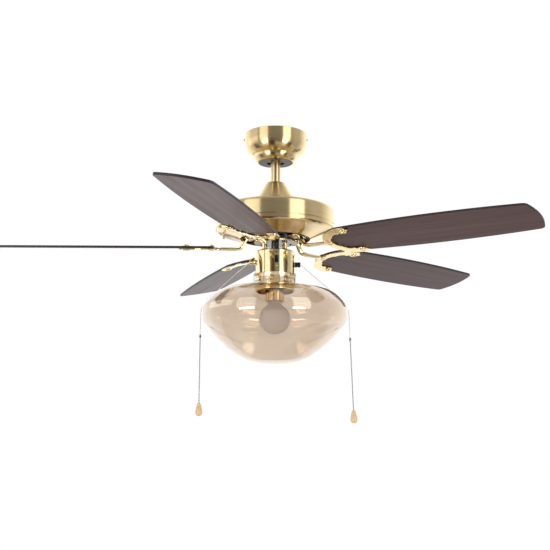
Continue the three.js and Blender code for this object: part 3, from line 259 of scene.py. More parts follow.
def pearl_glass():
    """Frosted bulb glass, white inside: it glows softly and shows no filament."""
    material, tree, shader = new_material(
        "frosted_bulb_glass", Roughness=0.5, IOR=1.25, Transmission_Weight=0.4, Coat_Weight=0.2, Coat_Roughness=0.1
    )
    frost = add(tree, "ShaderNodeTexNoise", {"Vector": object_place(tree), "Scale": 900.0, "Detail": 2.0})
    tone = add(tree, "ShaderNodeValToRGB", {"Fac": frost.outputs[0]})
    tree.links.new(stops(tone, (0.3, "#f5eff2"), (0.7, "#fdf9fb")), shader.inputs["Base Color"])
    bump = add(tree, "ShaderNodeBump", {"Height": frost.outputs[0], "Strength": 0.1, "Distance": 0.0002})
    tree.links.new(bump.outputs[0], shader.inputs["Normal"])
    return material


def maple():
    """Turned light maple with clear lacquer: pale, with fine growth lines round the grip."""
    material, tree, shader = new_material("turned_maple_clear_lacquer", Coat_Weight=0.5, Coat_Roughness=0.15)
    place = object_place(tree, (60, 60, 9))
    lines = add(tree, "ShaderNodeTexNoise", {"Vector": place, "Scale": 9.0, "Detail": 3.0})
    tone = add(tree, "ShaderNodeValToRGB", {"Fac": lines.outputs[0]})
    tree.links.new(stops(tone, (0.35, "#dcb078"), (0.6, "#edcb97")), shader.inputs["Base Color"])
    shader.inputs["Roughness"].default_value = 0.38
    bump = add(tree, "ShaderNodeBump", {"Height": lines.outputs[0], "Strength": 0.1, "Distance": 0.0001})
    tree.links.new(bump.outputs[0], shader.inputs["Normal"])
    return material


def banded(name, low, high, line_mm, rough, metal):
    """Something built of thin layers or wound wire: fine rings stacked along the axis."""
    material, tree, shader = new_material(name, Metallic=metal, Roughness=rough)
    place = add(tree, "ShaderNodeTexCoord").outputs["Object"]
    wave = add(
        tree,
        "ShaderNodeTexWave",
        {"Vector": place, "Scale": 0.314 / (line_mm * MM), "Distortion": 0.4},
        bands_direction="Z",
    )
    tone = add(tree, "ShaderNodeValToRGB", {"Fac": wave.outputs["Fac"]})
    tree.links.new(stops(tone, (0.1, low), (0.8, high)), shader.inputs["Base Color"])
    bump = add(tree, "ShaderNodeBump", {"Height": wave.outputs["Fac"], "Strength": 0.5, "Distance": line_mm * MM * 0.3})
    tree.links.new(bump.outputs[0], shader.inputs["Normal"])
    return material


SATIN = satin_brass()
POLISHED = polished_brass()
WALNUT = walnut()
BOWL = bowl_glass()
PEARL = pearl_glass()
MAPLE = maple()
EDGE = speckled("dark_stained_blade_edge", "#1c1211", "#2b1c1a", 2.5, 0.5)
BLACK = speckled("black_moulded_nylon", "#101012", "#1b1b1e", 1.2, 0.42)
CAST_BLACK = speckled("black_enamelled_casting", "#0d0d0f", "#1a1a1d", 3.0, 0.3, 0.35)
# Black vinyl of the motor leads, and painted dark reflection on the bottom plate's underside
BLACK_VINYL_AND_PAINTED_REFLECTION = speckled("black_vinyl_and_painted_plate_reflection", "#060607", "#0f0f11", 2.0, 0.2, 0.1)
GREY = speckled("grey_moulded_nylon", "#5f6266", "#73767a", 1.2, 0.55)
ZINC = speckled("zinc_plated_steel", "#9fa3a6", "#bcc0c2", 4.0, 0.34, 0.1, 1.0)
ALUMINIUM = speckled("cast_aluminium", "#85888a", "#9a9c9e", 1.5, 0.5, 0.4, 1.0)
PORCELAIN = speckled("glazed_porcelain", "#e6e1d6", "#f1ede4", 5.0, 0.22, 0.05)
COTTON = speckled("white_cotton_string", "#f3f2ef", "#fdfcfa", 0.5, 0.85, 0.4)
CHAIN = speckled("nickel_plated_bead", "#6f7174", "#8e9092", 1.0, 0.24, 0.05, 1.0)
# Painted shade: a dark brown metal laid in screw recesses, bores and dimples, where shade falls
PAINTED_RECESS_SHADE = speckled("painted_screw_recess_shade", "#1c160b", "#3a2e18", 0.8, 0.45, 0.2, 0.8)
CORE = banded("laminated_core_steel", "#3c3f42", "#6b6e71", 0.8, 0.45, 1.0)
COPPER = banded("enamelled_copper_wire", "#7c3517", "#b4612f", 0.9, 0.35, 0.8)


# ---------- Making pieces ----------
def finished(name, mesh_or_bm, materials, body, replaces=(), sharp=38):
    """Turns a bmesh or a mesh into a piece that rides on a body."""
    if isinstance(mesh_or_bm, bmesh.types.BMesh):
        mesh = bpy.data.meshes.new(name)
        mesh_or_bm.to_mesh(mesh)
        mesh_or_bm.free()
    else:
        mesh = mesh_or_bm
        mesh.name = name
    made = bpy.data.objects.new(name, mesh)
    bpy.context.scene.collection.objects.link(made)
    for material in materials if isinstance(materials, (list, tuple)) else [materials]:
        mesh.materials.append(material)
    mesh.shade_smooth()
    mesh.set_sharp_from_angle(angle=math.radians(sharp))
    even = made.modifiers.new("even_shading", "WEIGHTED_NORMAL")
    even.keep_sharp = True
    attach(made, body)
    if replaces:
        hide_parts(*([replaces] if isinstance(replaces, str) else replaces))
    return made


def through(points, steps=6):
    """Points on one smooth curve through the given ones."""
    known = [Vector(p) for p in points]
    ends = [2 * known[0] - known[1], *known, 2 * known[-1] - known[-2]]
    line = []
    for a, b, c, d in zip(ends, ends[1:], ends[2:], ends[3:]):
        for i in range(steps):
            t = i / steps
            line.append(
                0.5 * (2 * b + (c - a) * t + (2 * a - 5 * b + 4 * c - d) * t**2 + (3 * b - a - 3 * c + d) * t**3)
            )
    return [tuple(p) for p in line] + [tuple(known[-1])]


def arc(centre, radius, start, end, steps):
    """Points round a centre, from one angle to another in degrees."""
    turns = [math.radians(start + (end - start) * i / steps) for i in range(steps + 1)]
    return [(centre[0] + radius * math.cos(t), centre[1] + radius * math.sin(t)) for t in turns]


def lined(line, wall):
    """A closed outline: the line, and the same line moved sideways by the wall's thickness."""
    points = [Vector(p) for p in line]
    inner = []
    for i, point in enumerate(points):
        before, after = points[max(i - 1, 0)], points[min(i + 1, len(points) - 1)]
        first = (point - before).normalized() if i else (after - point).normalized()
        last = (after - point).normalized() if i < len(points) - 1 else first
        along = (first + last).normalized()
        inner.append(point + Vector((-along.y, along.x)) * wall / max(0.5, along.dot(first)))
    return [tuple(p) for p in points] + [tuple(p) for p in reversed(inner)]


def wire(points, closed=False):
    """A bmesh with one line of edges in the XZ plane, from points in millimetres."""
    bm = bmesh.new()
    verts = [bm.verts.new((r * MM, 0, z * MM)) for r, z in points]
    for a, b in zip(verts, verts[1:]):
        bm.edges.new((a, b))
    if closed:
        bm.edges.new((verts[-1], verts[0]))
    return bm


def spun(points, steps=TURN_STEPS, ease=0.0, segments=2, over=30, closed=None):
    """A turned solid from its outline. An outline that doesn't start on the axis closes on itself."""
    closed = points[0][0] > 0 if closed is None else closed
    bm = wire(points, closed)
    bmesh.ops.spin(
        bm, geom=bm.verts[:] + bm.edges[:], cent=(0, 0, 0), axis=(0, 0, 1), angle=math.tau, steps=steps, use_merge=True
    )
    tidy(bm)
    if ease:
        soften(bm, ease, segments, over)
    return bm


def tidy(bm):
    bmesh.ops.remove_doubles(bm, verts=bm.verts, dist=1e-6)
    bmesh.ops.dissolve_degenerate(bm, edges=bm.edges, dist=1e-7)
    bmesh.ops.recalc_face_normals(bm, faces=bm.faces)


def soften(bm, width, segments=2, over=30):
    """Rounds every edge that turns more than so many degrees, by a width in millimetres."""
    hard = [e for e in bm.edges if e.is_manifold and e.calc_face_angle(0) > math.radians(over)]
    bmesh.ops.bevel(
        bm,
        geom=hard,
        offset=width * MM,
        affect="EDGES",
        segments=segments,
        profile=0.5,
        material=-1,
        clamp_overlap=True,
    )


def slab(outline, low, high, ease=0.0, segments=2, holes=()):
    """A flat plate from an outline in the XY plane, between two heights, all in millimetres."""
    bm = bmesh.new()
    loops = [outline, *holes]
    edges = []
    for loop in loops:
        verts = [bm.verts.new((x * MM, y * MM, low * MM)) for x, y in loop]
        edges += [bm.edges.new((a, b)) for a, b in zip(verts, verts[1:] + verts[:1])]
    bmesh.ops.triangle_fill(bm, use_beauty=True, use_dissolve=True, edges=edges)
    raised = bmesh.ops.extrude_face_region(bm, geom=bm.faces[:], use_keep_orig=True)
    moved = [v for v in raised["geom"] if isinstance(v, bmesh.types.BMVert)]
    bmesh.ops.translate(bm, verts=moved, vec=(0, 0, (high - low) * MM))
    tidy(bm)
    if ease:
        soften(bm, ease, segments)
    return bm


def joined(*parts):
    """Puts several bmeshes in one."""
    whole = bmesh.new()
    for part in parts:
        mesh = bpy.data.meshes.new("part")
        part.to_mesh(mesh)
        part.free()
        whole.from_mesh(mesh)
        bpy.data.meshes.remove(mesh)
    return whole


def placed(bm, matrix):
    bmesh.ops.transform(bm, matrix=matrix, verts=bm.verts)
    if matrix.to_3x3().determinant() < 0:
        bmesh.ops.reverse_faces(bm, faces=bm.faces)
    return bm


def painted(bm, index, chosen=None):
    """Gives faces a material by its place in the piece's list."""
    for face in bm.faces:
        if chosen is None or chosen(face):
            face.material_index = index
    return bm


def at(x=0, y=0, z=0):
    return Matrix.Translation((x * MM, y * MM, z * MM))


def turn(degrees, axis="Z"):
    return Matrix.Rotation(math.radians(degrees), 4, axis)


def outward(degrees):
    """Turns a piece that was spun round Z so that its axis points out from the fan's, at an angle round it."""
    return turn(degrees) @ turn(90, "Y")


def swept(points, section, radii=None, name="sweep"):
    """A mesh that carries a closed outline along a path. Points and outline are in millimetres."""
    outline = bpy.data.curves.new(name + "_outline", "CURVE")
    outline.dimensions = "2D"
    loop = outline.splines.new("POLY")
    loop.points.add(len(section) - 1)
    for target, (x, y) in zip(loop.points, section):
        target.co = (x * MM, y * MM, 0, 1)
    loop.use_cyclic_u = True
    holder = bpy.data.objects.new(name + "_outline", outline)
    bpy.context.scene.collection.objects.link(holder)
    path = bpy.data.curves.new(name, "CURVE")
    path.dimensions = "3D"
    path.twist_mode = "Z_UP"
    path.use_fill_caps = True
    path.bevel_mode = "OBJECT"
    path.bevel_object = holder
    line = path.splines.new("POLY")
    line.points.add(len(points) - 1)
    for i, point in enumerate(points):
        line.points[i].co = (point[0] * MM, point[1] * MM, point[2] * MM, 1)
        line.points[i].radius = radii[i] if radii else 1
    carrier = bpy.data.objects.new(name, path)
    bpy.context.scene.collection.objects.link(carrier)
    bpy.context.view_layer.update()
    mesh = bpy.data.meshes.new_from_object(carrier.evaluated_get(bpy.context.evaluated_depsgraph_get()))
    bm = bmesh.new()
    bm.from_mesh(mesh)
    for item in (carrier, holder):
        bpy.data.objects.remove(item)
    for item in (path, outline):
        bpy.data.curves.remove(item)
    bpy.data.meshes.remove(mesh)
    tidy(bm)
    return bm


def circle(radius, sides):
    return [(radius * math.cos(math.tau * i / sides), radius * math.sin(math.tau * i / sides)) for i in range(sides)]


def box_of(node):
    """A node's lowest and highest corners in millimetres."""
    low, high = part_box(node)
    return low / MM, high / MM


def bar(radius, low, high, steps=SMALL_STEPS, ease=0.0):
    """A round bar on Z with softened ends."""
    return spun([(0, low), (radius, low), (radius, high), (0, high)], steps, ease)


def pan_head(radius, height):
    """A domed screw head that stands on z = 0, with a shallow cup for its cross recess, painted dark as painted shade.
    """
    dome = through([(radius, height * 0.35), (radius * 0.75, height * 0.85), (radius * 0.42, height)], 4)
    cup = [(radius * 0.36, height * 0.96), (radius * 0.22, height * 0.45), (0, height * 0.35)]
    bm = spun([(0, 0), (radius, 0), *dome, *cup], 20)
    # The cup's faces take slot 1: painted shade in the recess
    return painted(bm, 1, lambda f: f.calc_center_median().xy.length < radius * 0.37 * MM and f.normal.z > 0.1)


def line_of(*parts):
    """Runs of points joined in one line, without the repeats where they meet."""
    whole = []
    for part in parts:
        for point in part:
            if not whole or (Vector(point) - Vector(whole[-1])).length > 1e-4:
                whole.append(tuple(point))
    return whole


def carved(bm, *cutters):
    """Cuts solids out of a solid."""
    mesh = bpy.data.meshes.new("carved")
    bm.to_mesh(mesh)
    bm.free()
    body = bpy.data.objects.new("carved", mesh)
    tool_mesh = bpy.data.meshes.new("cutter")
    whole = joined(*cutters)
    whole.to_mesh(tool_mesh)
    whole.free()
    tool = bpy.data.objects.new("cutter", tool_mesh)
    for item in (body, tool):
        bpy.context.scene.collection.objects.link(item)
    cut = body.modifiers.new("cut", "BOOLEAN")
    cut.operation = "DIFFERENCE"
    cut.solver = "EXACT"
    cut.use_self = True
    cut.object = tool
    bpy.context.view_layer.update()
    result = bpy.data.meshes.new_from_object(body.evaluated_get(bpy.context.evaluated_depsgraph_get()))
    made = bmesh.new()
    made.from_mesh(result)
    for item in (body, tool):
        bpy.data.objects.remove(item)
    for item in (mesh, tool_mesh, result):
        bpy.data.meshes.remove(item)
    return made


# ---------- Pull cords ----------
# Each string's route in millimetres, from its ferrule over the bowl's shoulder to its chain.
STRING_ROUTES = {
    "speed": [
        (-62.3, 0, -322),
        (-90, 0, -347),
        (-120, 0, -374.6),
        (-141, 0, -394.6),
        (-153, 0, -405.6),
        (-164, 0, -416.6),
        (-172.4, 0, -428),
        (-177.4, 0, -444),
        (-178, 0, -462),
        (-178, 0, -499),
    ],
    "light": [
        (62.8, 0, -328),
        (90, 0, -352.4),
        (120, 0, -378.4),
        (141, 0, -396),
        (153, 0, -405.6),
        (164, 0, -416.6),
        (172.4, 0, -428),
        (177.4, 0, -444),
        (178.6, 0, -462),
        (180.2, 0, -505),
    ],
}
CHAIN_ENDS = {"speed": (-178, 0, -662), "light": (186.8, 0, -677)}
CHAIN_DIAMETER = 3.2


def twisted_string(route):
    """Three strands laid round each other along a route."""
    line = [Vector(p) for p in through(route, 60)]
    strand_radius, lay, pitch = 0.47, 0.43, 4.2
    parts = []
    for strand in range(3):
        run, points = 0.0, []
        for i, point in enumerate(line):
            ahead = line[min(i + 1, len(line) - 1)] - line[max(i - 1, 0)]
            ahead.normalize()
            across = Vector((-ahead.z, 0, ahead.x))
            angle = math.tau * (run / pitch + strand / 3)
            points.append(point + lay * (math.cos(angle) * across + math.sin(angle) * Vector((0, 1, 0))))
            if i + 1 < len(line):
                run += (line[i + 1] - point).length
        parts.append(swept(points, circle(strand_radius, 6), name="strand"))
    return joined(*parts)


def along(start, end):
    """A matrix that lays -Z on the way from one point to another, and its length in millimetres."""
    start, end = Vector(start), Vector(end)
    way = end - start
    turned = Vector((0, 0, -1)).rotation_difference(way).to_matrix().to_4x4()
    return at(*start) @ turned, way.length


def bead_chain(length):
    """Beads on a wire, hanging down from z = 0."""
    pitch, wire_radius = 4.4, 0.45
    count = int(length / pitch)
    gap = (length - count * pitch) / 2
    beads = []
    for i in range(count):
        bead = bmesh.new()
        bmesh.ops.create_uvsphere(bead, u_segments=12, v_segments=8, radius=CHAIN_DIAMETER / 2 * MM)
        beads.append(placed(bead, at(z=-(gap + pitch * (i + 0.5)))))
    return joined(bar(wire_radius, -length, 0, 8), *beads)


def coupling():
    """The bell that joins a string to its chain, hanging down from z = 0."""
    outline = [(0, 1.5), (0.9, 1.5), (1.3, 0), (2.3, -2.2), (2.6, -5.5), (2.2, -8.2), (0, -8.2)]
    return spun(line_of(outline[:2], through(outline[2:6], 4), outline[6:]), 24)


def grip(length):
    """An egg shaped wooden grip with a brass cap at its slim top, hanging down from z = 0."""
    shape = [(3.4, 0), (4.6, 0.06), (6.9, 0.34), (8.6, 0.66), (7.6, 0.85), (4.4, 0.97)]
    body = spun([(0, 0), *through([(r, -share * length) for r, share in shape], 8), (0, -length)], SMALL_STEPS)
    cap = painted(spun([(0, 0.9), (1.6, 0.9), (3.0, 0.2), (3.5, -1.4), (0, -1.4)], 32), 1)
    return joined(body, cap)


def pull_cord(side):
    route, end = STRING_ROUTES[side], CHAIN_ENDS[side]
    body = side + "_pull"
    string_name = side + "_cotton_string"
    string = finished(string_name, twisted_string(route), COTTON, "hung_part", side + "_string")
    hang, length = along(route[-1], end)
    bell = finished(side + "_chain_bell", placed(coupling(), hang), CHAIN, body)
    chain = finished(side + "_bead_chain", placed(bead_chain(length), hang), CHAIN, body, side + "_chain")
    wood_length = 30
    wood = placed(grip(wood_length), hang @ at(z=-length - 0.3))
    handle = finished(side + "_wooden_grip", wood, [MAPLE, POLISHED], body, side + "_fob")


for cord_side in ("speed", "light"):
    pull_cord(cord_side)


# ---------- Hanger and canopy ----------
def rounded_rectangle(x0, x1, y0, y1, corner):
    points = []
    for cx, cy, start in ((x1, y1, 0), (x0, y1, 90), (x0, y0, 180), (x1, y0, 270)):
        centre = (cx - math.copysign(corner, cx - (x0 + x1) / 2), cy - math.copysign(corner, cy - (y0 + y1) / 2))
        points += arc(centre, corner, start, start + 90, 5)
    return points


def bracket():
    """A folded steel strip: ceiling plate with two slots, screw legs, and two arms that carry the ball's cup."""
    high = box_of("hanger_bracket")[1]
    half, width, thick = high.x, high.y, 2.5
    slots = [rounded_rectangle(s * 50 - 6, s * 50 + 6, -2.5, 2.5, 2.4) for s in (-1, 1)]
    parts = [slab(rounded_rectangle(-half, half, -width, width, 4), high.z - thick, high.z, 0.5, holes=slots)]
    ball_low, ball_high = box_of("hanger_ball")
    cup_inner = (ball_high.x - ball_low.x) / 2 + 0.3
    for side in (-1, 1):
        hole = circle(2.3, 16)
        leg = slab(rounded_rectangle(-18.0, -1.2, -11, 11, 3), 0, thick, 0.4, holes=[[(x - 12, y) for x, y in hole]])
        parts.append(placed(leg, at(side * (half - thick / 2)) @ turn(-90, "Y") @ at(z=-thick / 2)))
        arm = slab(rounded_rectangle(-46, -1.2, -11, 11, 3), 0, 3, 0.4)
        parts.append(placed(arm, at(side * (cup_inner + 2.5 - 0.8 + 1.5)) @ turn(-90, "Y") @ at(z=-1.5)))
    rim, hole = math.degrees(math.asin(5 / cup_inner)), math.degrees(math.acos(17 / (cup_inner + 2.5)))
    inside = arc((0, BALL_CENTRE_Z), cup_inner, -rim, -hole, 14)
    outside = arc((0, BALL_CENTRE_Z), cup_inner + 2.5, -hole, -rim, 14)
    parts.append(spun(inside + outside, 96, 0.4))
    return joined(*parts)


def ball():
    low, high = box_of("hanger_ball")
    radius, centre = high.x, low.z + high.x
    bore = 12.5
    top = math.degrees(math.asin(18 / radius))
    bottom = -math.degrees(math.acos(bore / radius))
    skin = arc((0, centre), radius, bottom, top, 30)
    return spun([*skin, (bore, centre + 18)], 96, 0.5)


def canopy():
    radius, step = box_of("canopy")[1].x, 58.3
    line = line_of(
        [(radius - 0.5, -0.6), (radius + 0.1, -1.4), (radius, -3), (radius - 0.15, -14)],
        through([(radius - 0.3, -22), (radius - 1.7, -31), (radius - 5.2, -40), (radius - 11.2, -47.6), (step, -53)]),
        [(step - 2.6, -53.9), (step - 3.5, -54.6)],
        through([(step - 3.5, -56.5), (step - 4.8, -60.8), (step - 8.2, -66), (step - 12.6, -70)]),
        [(42.5, -71.5)],
    )
    body = spun(lined(line, -1.2), 160, 0.25)
    holes = [placed(bar(2.3, 0, 8, 24), at(s * (radius - 4), 0, CANOPY_SCREW_Z) @ turn(s * 90, "Y")) for s in (-1, 1)]
    return carved(body, *holes)


def canopy_screw(side):
    radius = box_of("canopy")[1].x + 0.3
    shank = bar(2, -16, 0.2, 24)
    head = pan_head(3.6, 1.8)
    return placed(joined(shank, head), at(side * radius, 0, CANOPY_SCREW_Z) @ turn(side * 90, "Y"))


RING_OUTLINE = [(22, -71.5), (41.5, -71.5), (41.5, -69.6), (44.5, -69.6), (44.5, -67.4), (22, -67.4)]
finished("folded_hanger_bracket", bracket(), ZINC, "ceiling_part", "hanger_bracket")
finished("hanger_half_ball", ball(), GREY, "hung_part", "hanger_ball")
finished("spun_canopy", canopy(), SATIN, "ceiling_part", "canopy")
finished("canopy_bottom_ring", spun(RING_OUTLINE, 128, 0.5), BLACK, "ceiling_part", "canopy_ring")
for side_name, side in (("left", -1), ("right", 1)):
    node = "canopy_screw_" + side_name
    finished(node + "_headed", canopy_screw(side), [POLISHED, PAINTED_RECESS_SHADE], "ceiling_part", node)

# ---------- Down rod and yoke cover ----------
rod_low, rod_high = box_of("downrod")
ROD_OUTLINE = [(10.4, rod_low.z), (rod_high.x, rod_low.z), (rod_high.x, rod_high.z), (10.4, rod_high.z)]
finished("brass_down_rod", spun(ROD_OUTLINE, 96, 0.4), SATIN, "hung_part", "downrod")

cover_top, drum_top = box_of("yoke_cover")[1].z, box_of("housing_drum")[1].z
COVER_LINE = line_of(
    [(13.0, cover_top), (22.6, cover_top), (23.9, cover_top - 0.6)],
    through([(24.6, cover_top - 1.8), (27, cover_top - 6), (35.9, cover_top - 21.5), (44.8, cover_top - 37)], 5),
    through([(45.2, cover_top - 37.8), (49.6, cover_top - 46), (56.4, cover_top - 56.6)], 5),
    [(58, drum_top + 0.6)],
)
finished("yoke_cover_cone", spun(lined(COVER_LINE, -1.2), 128, 0.2), SATIN, "hung_part", "yoke_cover")


# ---------- Motor housing ----------
def drum():
    low, high = box_of("housing_drum")
    radius, groove = high.x, low.z + 9
    outer = line_of(
        [(30, high.z), (60, high.z), (61.5, high.z - 0.4)],
        [(118, high.z - 4.6), (radius - 13, high.z - 6.6)],
        through(
            [(radius - 9, high.z - 7.4), (radius - 4, high.z - 9.6), (radius - 1, high.z - 13), (radius, high.z - 17)]
        ),
        [(radius, groove + 1.5), (radius - 1.3, groove + 0.7), (radius - 1.3, groove - 0.7), (radius, groove - 1.5)],
        [(radius, low.z)],
    )
    inner = line_of(
        [(30, high.z - 1.8), (60, high.z - 1.8), (radius - 13, high.z - 8.4)],
        [(radius - 5, high.z - 11.6), (radius - 1.9, high.z - 18), (radius - 1.9, low.z)],
    )
    return spun([*outer, *reversed(inner)], 192, 0.25)


def funnel():
    low, high = box_of("housing_funnel")
    wide, narrow = high.x, 85.6
    line = line_of(
        [(wide, high.z), (wide - 0.6, high.z - 1.6), (wide - 2.4, high.z - 3.4)],
        through([(wide - 6, high.z - 4.8), (wide - 30.4, high.z - 11), (narrow + 4, low.z + 2.4)], 10),
        [(narrow + 1.2, low.z + 0.9), (narrow, low.z)],
    )
    return spun(lined(line, -1.2), 192, 0.2)


def funnel_screws():
    """Two long pan heads that hold the funnel up, one at each side."""
    place = box_of("housing_funnel")[1].z - 8.4
    outline = [(0, -12), (2.4, -12), (3.4, -11), (3.4, -8.6), (2.2, -8), (2.2, -1), (3.6, -0.6), (3.6, 0.6), (0, 0.6)]
    return joined(*[placed(spun(outline, 24, 0.2), at(side * 126, 0, place)) for side in (-1, 1)])


finished("motor_housing_drum", drum(), SATIN, "hung_part", "housing_drum")
finished("motor_housing_funnel", funnel(), SATIN, "hung_part", "housing_funnel")
finished("funnel_screws", funnel_screws(), POLISHED, "hung_part")


# ---------- Flywheel ----------
def flywheel():
    low, high = box_of("flywheel")
    r = high.x
    shell = spun(
        [
            (11, low.z),
            (r - 5, low.z),
            (r - 1.2, low.z + 1),
            (r, low.z + 4),
            (r, high.z),
            (r - 4, high.z),
            (r - 4, low.z + 4),
            (20.3, low.z + 4),
            (20.3, low.z + 10),
            (16.3, low.z + 10),
            (16.3, low.z + 2),
            (11, low.z + 2),
        ],
        128,
        0.5,
    )
    ribs = []
    for i in range(BLADE_COUNT):
        # A rib between each two blade feet, and a raised boss for the next blade's second fixing
        middle = math.degrees(FIRST_BLADE) + 72 * i + 36
        for offset in (-9, 9):
            web = slab(rounded_rectangle(28, r - 8, -1.1, 1.1, 1), low.z - 2.2, low.z + 0.5, 0.3)
            ribs.append(placed(web, turn(middle + offset)))
        boss = spun([(0, low.z - 2), (4.6, low.z - 2), (5.4, low.z + 0.4), (0, low.z + 0.4)], 24, 0.3)
        ribs.append(placed(boss, turn(middle) @ at(x=58)))
    hub = spun([(12, low.z - 3), (25, low.z - 3), (27, low.z + 0.4), (12, low.z + 0.4)], 64, 0.4)
    return joined(shell, hub, *ribs)


finished("ribbed_flywheel", flywheel(), CAST_BLACK, "rotor", "flywheel")

# ---------- Blades and irons ----------
CRESCENT_CENTRE = 210
CRESCENT_Z = -292
BOSSES = [(4.4, -50.3), (-55.5, 0), (4.4, 50.3)]
BOSS_RADIUS = 8.3


def arm_frame(index):
    return Matrix.Rotation(FIRST_BLADE + math.tau * index / BLADE_COUNT, 4, "Z")


def blade_frame(index):
    tip = Matrix.Rotation(BLADE_DROOP, 4, "Y") @ Matrix.Rotation(-BLADE_PITCH, 4, "X")
    return arm_frame(index) @ at(CRESCENT_CENTRE, 0, CRESCENT_Z) @ tip


def from_inward(distance, degrees):
    """A point of the crescent at a distance from its centre, and an angle from the way to the fan's axis."""
    return (-distance * math.cos(math.radians(degrees)), distance * math.sin(math.radians(degrees)))


def crescent_half():
    """One arm of the crescent, from its inner rim's middle round the scallops, the screw's lobe and the point,
    and back along its outer rim."""
    inner = through([from_inward(r, a) for r, a in ((47.6, 0), (47.4, 12), (46.9, 24), (45.6, 31))], 3)
    first_cusp = [from_inward(42.4, 34.5)]
    scallop = through([from_inward(r, a) for r, a in ((44.4, 38), (45.9, 47), (46.0, 57), (44.6, 67))], 3)
    second_cusp = [from_inward(41.0, 72.5)]
    hollow = [from_inward(43.2, 76)]
    lobe = arc(BOSSES[2], 10.2, 208, 352, 12)
    point = [(17.0, 51.6), (22.5, 56.8), (16.6, 59.2)]
    corner = [(13.4, 62.4), from_inward(67.4, 100)]
    outer = [from_inward(66.5, a) for a in range(96, 0, -4)]
    return line_of(inner, first_cusp, scallop, second_cusp, hollow, lobe, point, corner, outer)


def crescent():
    arm = crescent_half()
    mirrored = [(x, -y) for x, y in reversed(arm)]
    outline = line_of(arm, [from_inward(66.5, 0)], mirrored)
    outline.pop()
    return slab(outline, -1.5, 1.5, 0.55, 2)


def boss(x, y):
    """A round boss that stands proud below the crescent, with a dark disc of painted shade in its bore round the
    screw's bright end.
    """
    outline = [(4.6, -2.6), (5.0, -3.4), (6.3, -3.5), (7.5, -2.6), (BOSS_RADIUS, -1.2), (BOSS_RADIUS, 1.5), (4.6, 1.5)]
    body = spun(line_of(outline[:2], through(outline[2:5], 3), outline[5:]), 32)
    # The disc in the bore is painted dark: painted shade inside the bore
    recess = painted(spun([(0, -1.4), (4.7, -1.4), (4.7, 1.2), (0, 1.2)], 24), 1)
    tip = spun([(0, -2.5), (1.2, -2.3), (1.7, -1.8), (1.7, -1.3), (0, -1.3)], 16)
    return placed(joined(body, recess, tip), at(x, y))


def stem():
    """The bar from the flywheel foot down to the crescent: two ribs with a groove between them, slimmer outwards."""
    foot_z = box_of("flywheel")[0].z - 0.3
    high, low = foot_z - 4.4, CRESCENT_Z + 1.7
    route = [
        (54, 0, high + 1),
        (64, 0, high + 0.6),
        (70, 0, high - 1.8),
        (74.5, 0, high - 8),
        (78, 0, low + 11),
        (83.5, 0, low + 4.2),
        (93, 0, low + 0.9),
        (112, 0, low),
        (134, 0, low),
        (CRESCENT_CENTRE - 59, 0, low),
    ]
    line = through(route, 6)
    widths = [1 - 0.24 * min(1, max(0, (p[0] - 84) / 46)) for p in line]
    half, rib, deep = 7.2, 4.2, 2.2
    side = [
        (0, rib - deep),
        (1.5, rib - deep + 0.2),
        (2.6, rib - 0.5),
        (4.0, rib),
        (5.6, rib - 0.4),
        (half - 0.3, 1.4),
        (half, 0),
    ]
    quarter = line_of(side)
    section = line_of(
        quarter,
        [(x, -y) for x, y in reversed(quarter)],
        [(-x, -y) for x, y in quarter],
        [(-x, y) for x, y in reversed(quarter)],
    )
    section.pop()
    return swept(line, section, widths, name="stem")


def neck():
    """The leaf that spreads from the stem's end over the crescent's middle boss."""
    outline = line_of(
        [(-80, 4.0)],
        through([(-74, 4.4), (-69, 6.4), (-65, 10.5), (-62.6, 16.5)], 4),
        through([(-62.6, 16.5), (-56, 14.5), (-50.2, 9.0)], 4),
        [(-50.2, -9.0)],
        through([(-50.2, -9.0), (-56, -14.5), (-62.6, -16.5)], 4),
        through([(-62.6, -16.5), (-65, -10.5), (-69, -6.4), (-74, -4.4)], 4),
        [(-80, -4.0)],
    )
    return slab(outline, -2.6, 1.2, 0.9, 3)


def foot():
    """The plate under the flywheel with its two screws."""
    top = box_of("flywheel")[0].z - 0.3
    outline = arc((0, 0), 74, -20, 20, 12) + arc((0, 0), 46, 20, -20, 8)
    plate = slab(outline, top - 5, top, 0.8, 3)
    heads = []
    for side in (-1, 1):
        head = placed(pan_head(4.2, 2.6), turn(13 * side) @ at(62, 0, top - 5) @ turn(180, "X"))
        heads.append(head)
    return joined(plate, *heads)


def blade_iron(index):
    cast = [crescent(), neck(), *[boss(x, y) for x, y in BOSSES]]
    flat = [placed(part, blade_frame(index)) for part in cast]
    upright = [placed(part, arm_frame(index)) for part in (stem(), foot())]
    return joined(*flat, *upright)


def quadratic(a, b, c, steps):
    return [
        tuple(Vector(a) * (1 - t) ** 2 + Vector(b) * 2 * t * (1 - t) + Vector(c) * t * t)
        for t in [i / steps for i in range(steps + 1)]
    ]


def blade_outline():
    root, tip_half, corner = 62.5, 61.0, 11.0
    start = from_inward(root, 84)
    corner_x = 441.0
    middle = ((start[0] + corner_x) / 2, (start[1] + tip_half) / 2 + 18)
    side = quadratic(start, middle, (corner_x - corner, tip_half), 28)
    bend = quadratic((corner_x - corner, tip_half), (corner_x, tip_half - 1.5), (corner_x + 1.5, tip_half - corner), 8)
    tip = quadratic((corner_x + 1.5, tip_half - corner), (corner_x + 18, 0), (corner_x + 1.5, corner - tip_half), 16)
    upper = line_of(side, bend)
    lower = [(x, -y) for x, y in reversed(upper)]
    round_root = [from_inward(root, a) for a in range(-78, 84, 6)]
    return line_of(upper, tip, lower, round_root)


def blade(index):
    """A flat board with softened, dark stained edges. Its grain runs out along it."""
    bm = slab(blade_outline(), 1.8, 7.3, 0.9, 3)
    grain = bm.verts.layers.float_vector.new("grain")
    for vert in bm.verts:
        vert[grain] = vert.co + Vector((0.83 * index, 0.37 * index, 0))
    bm.normal_update()
    painted(bm, 1, lambda face: abs(face.normal.z) < 0.8)
    return placed(bm, blade_frame(index))


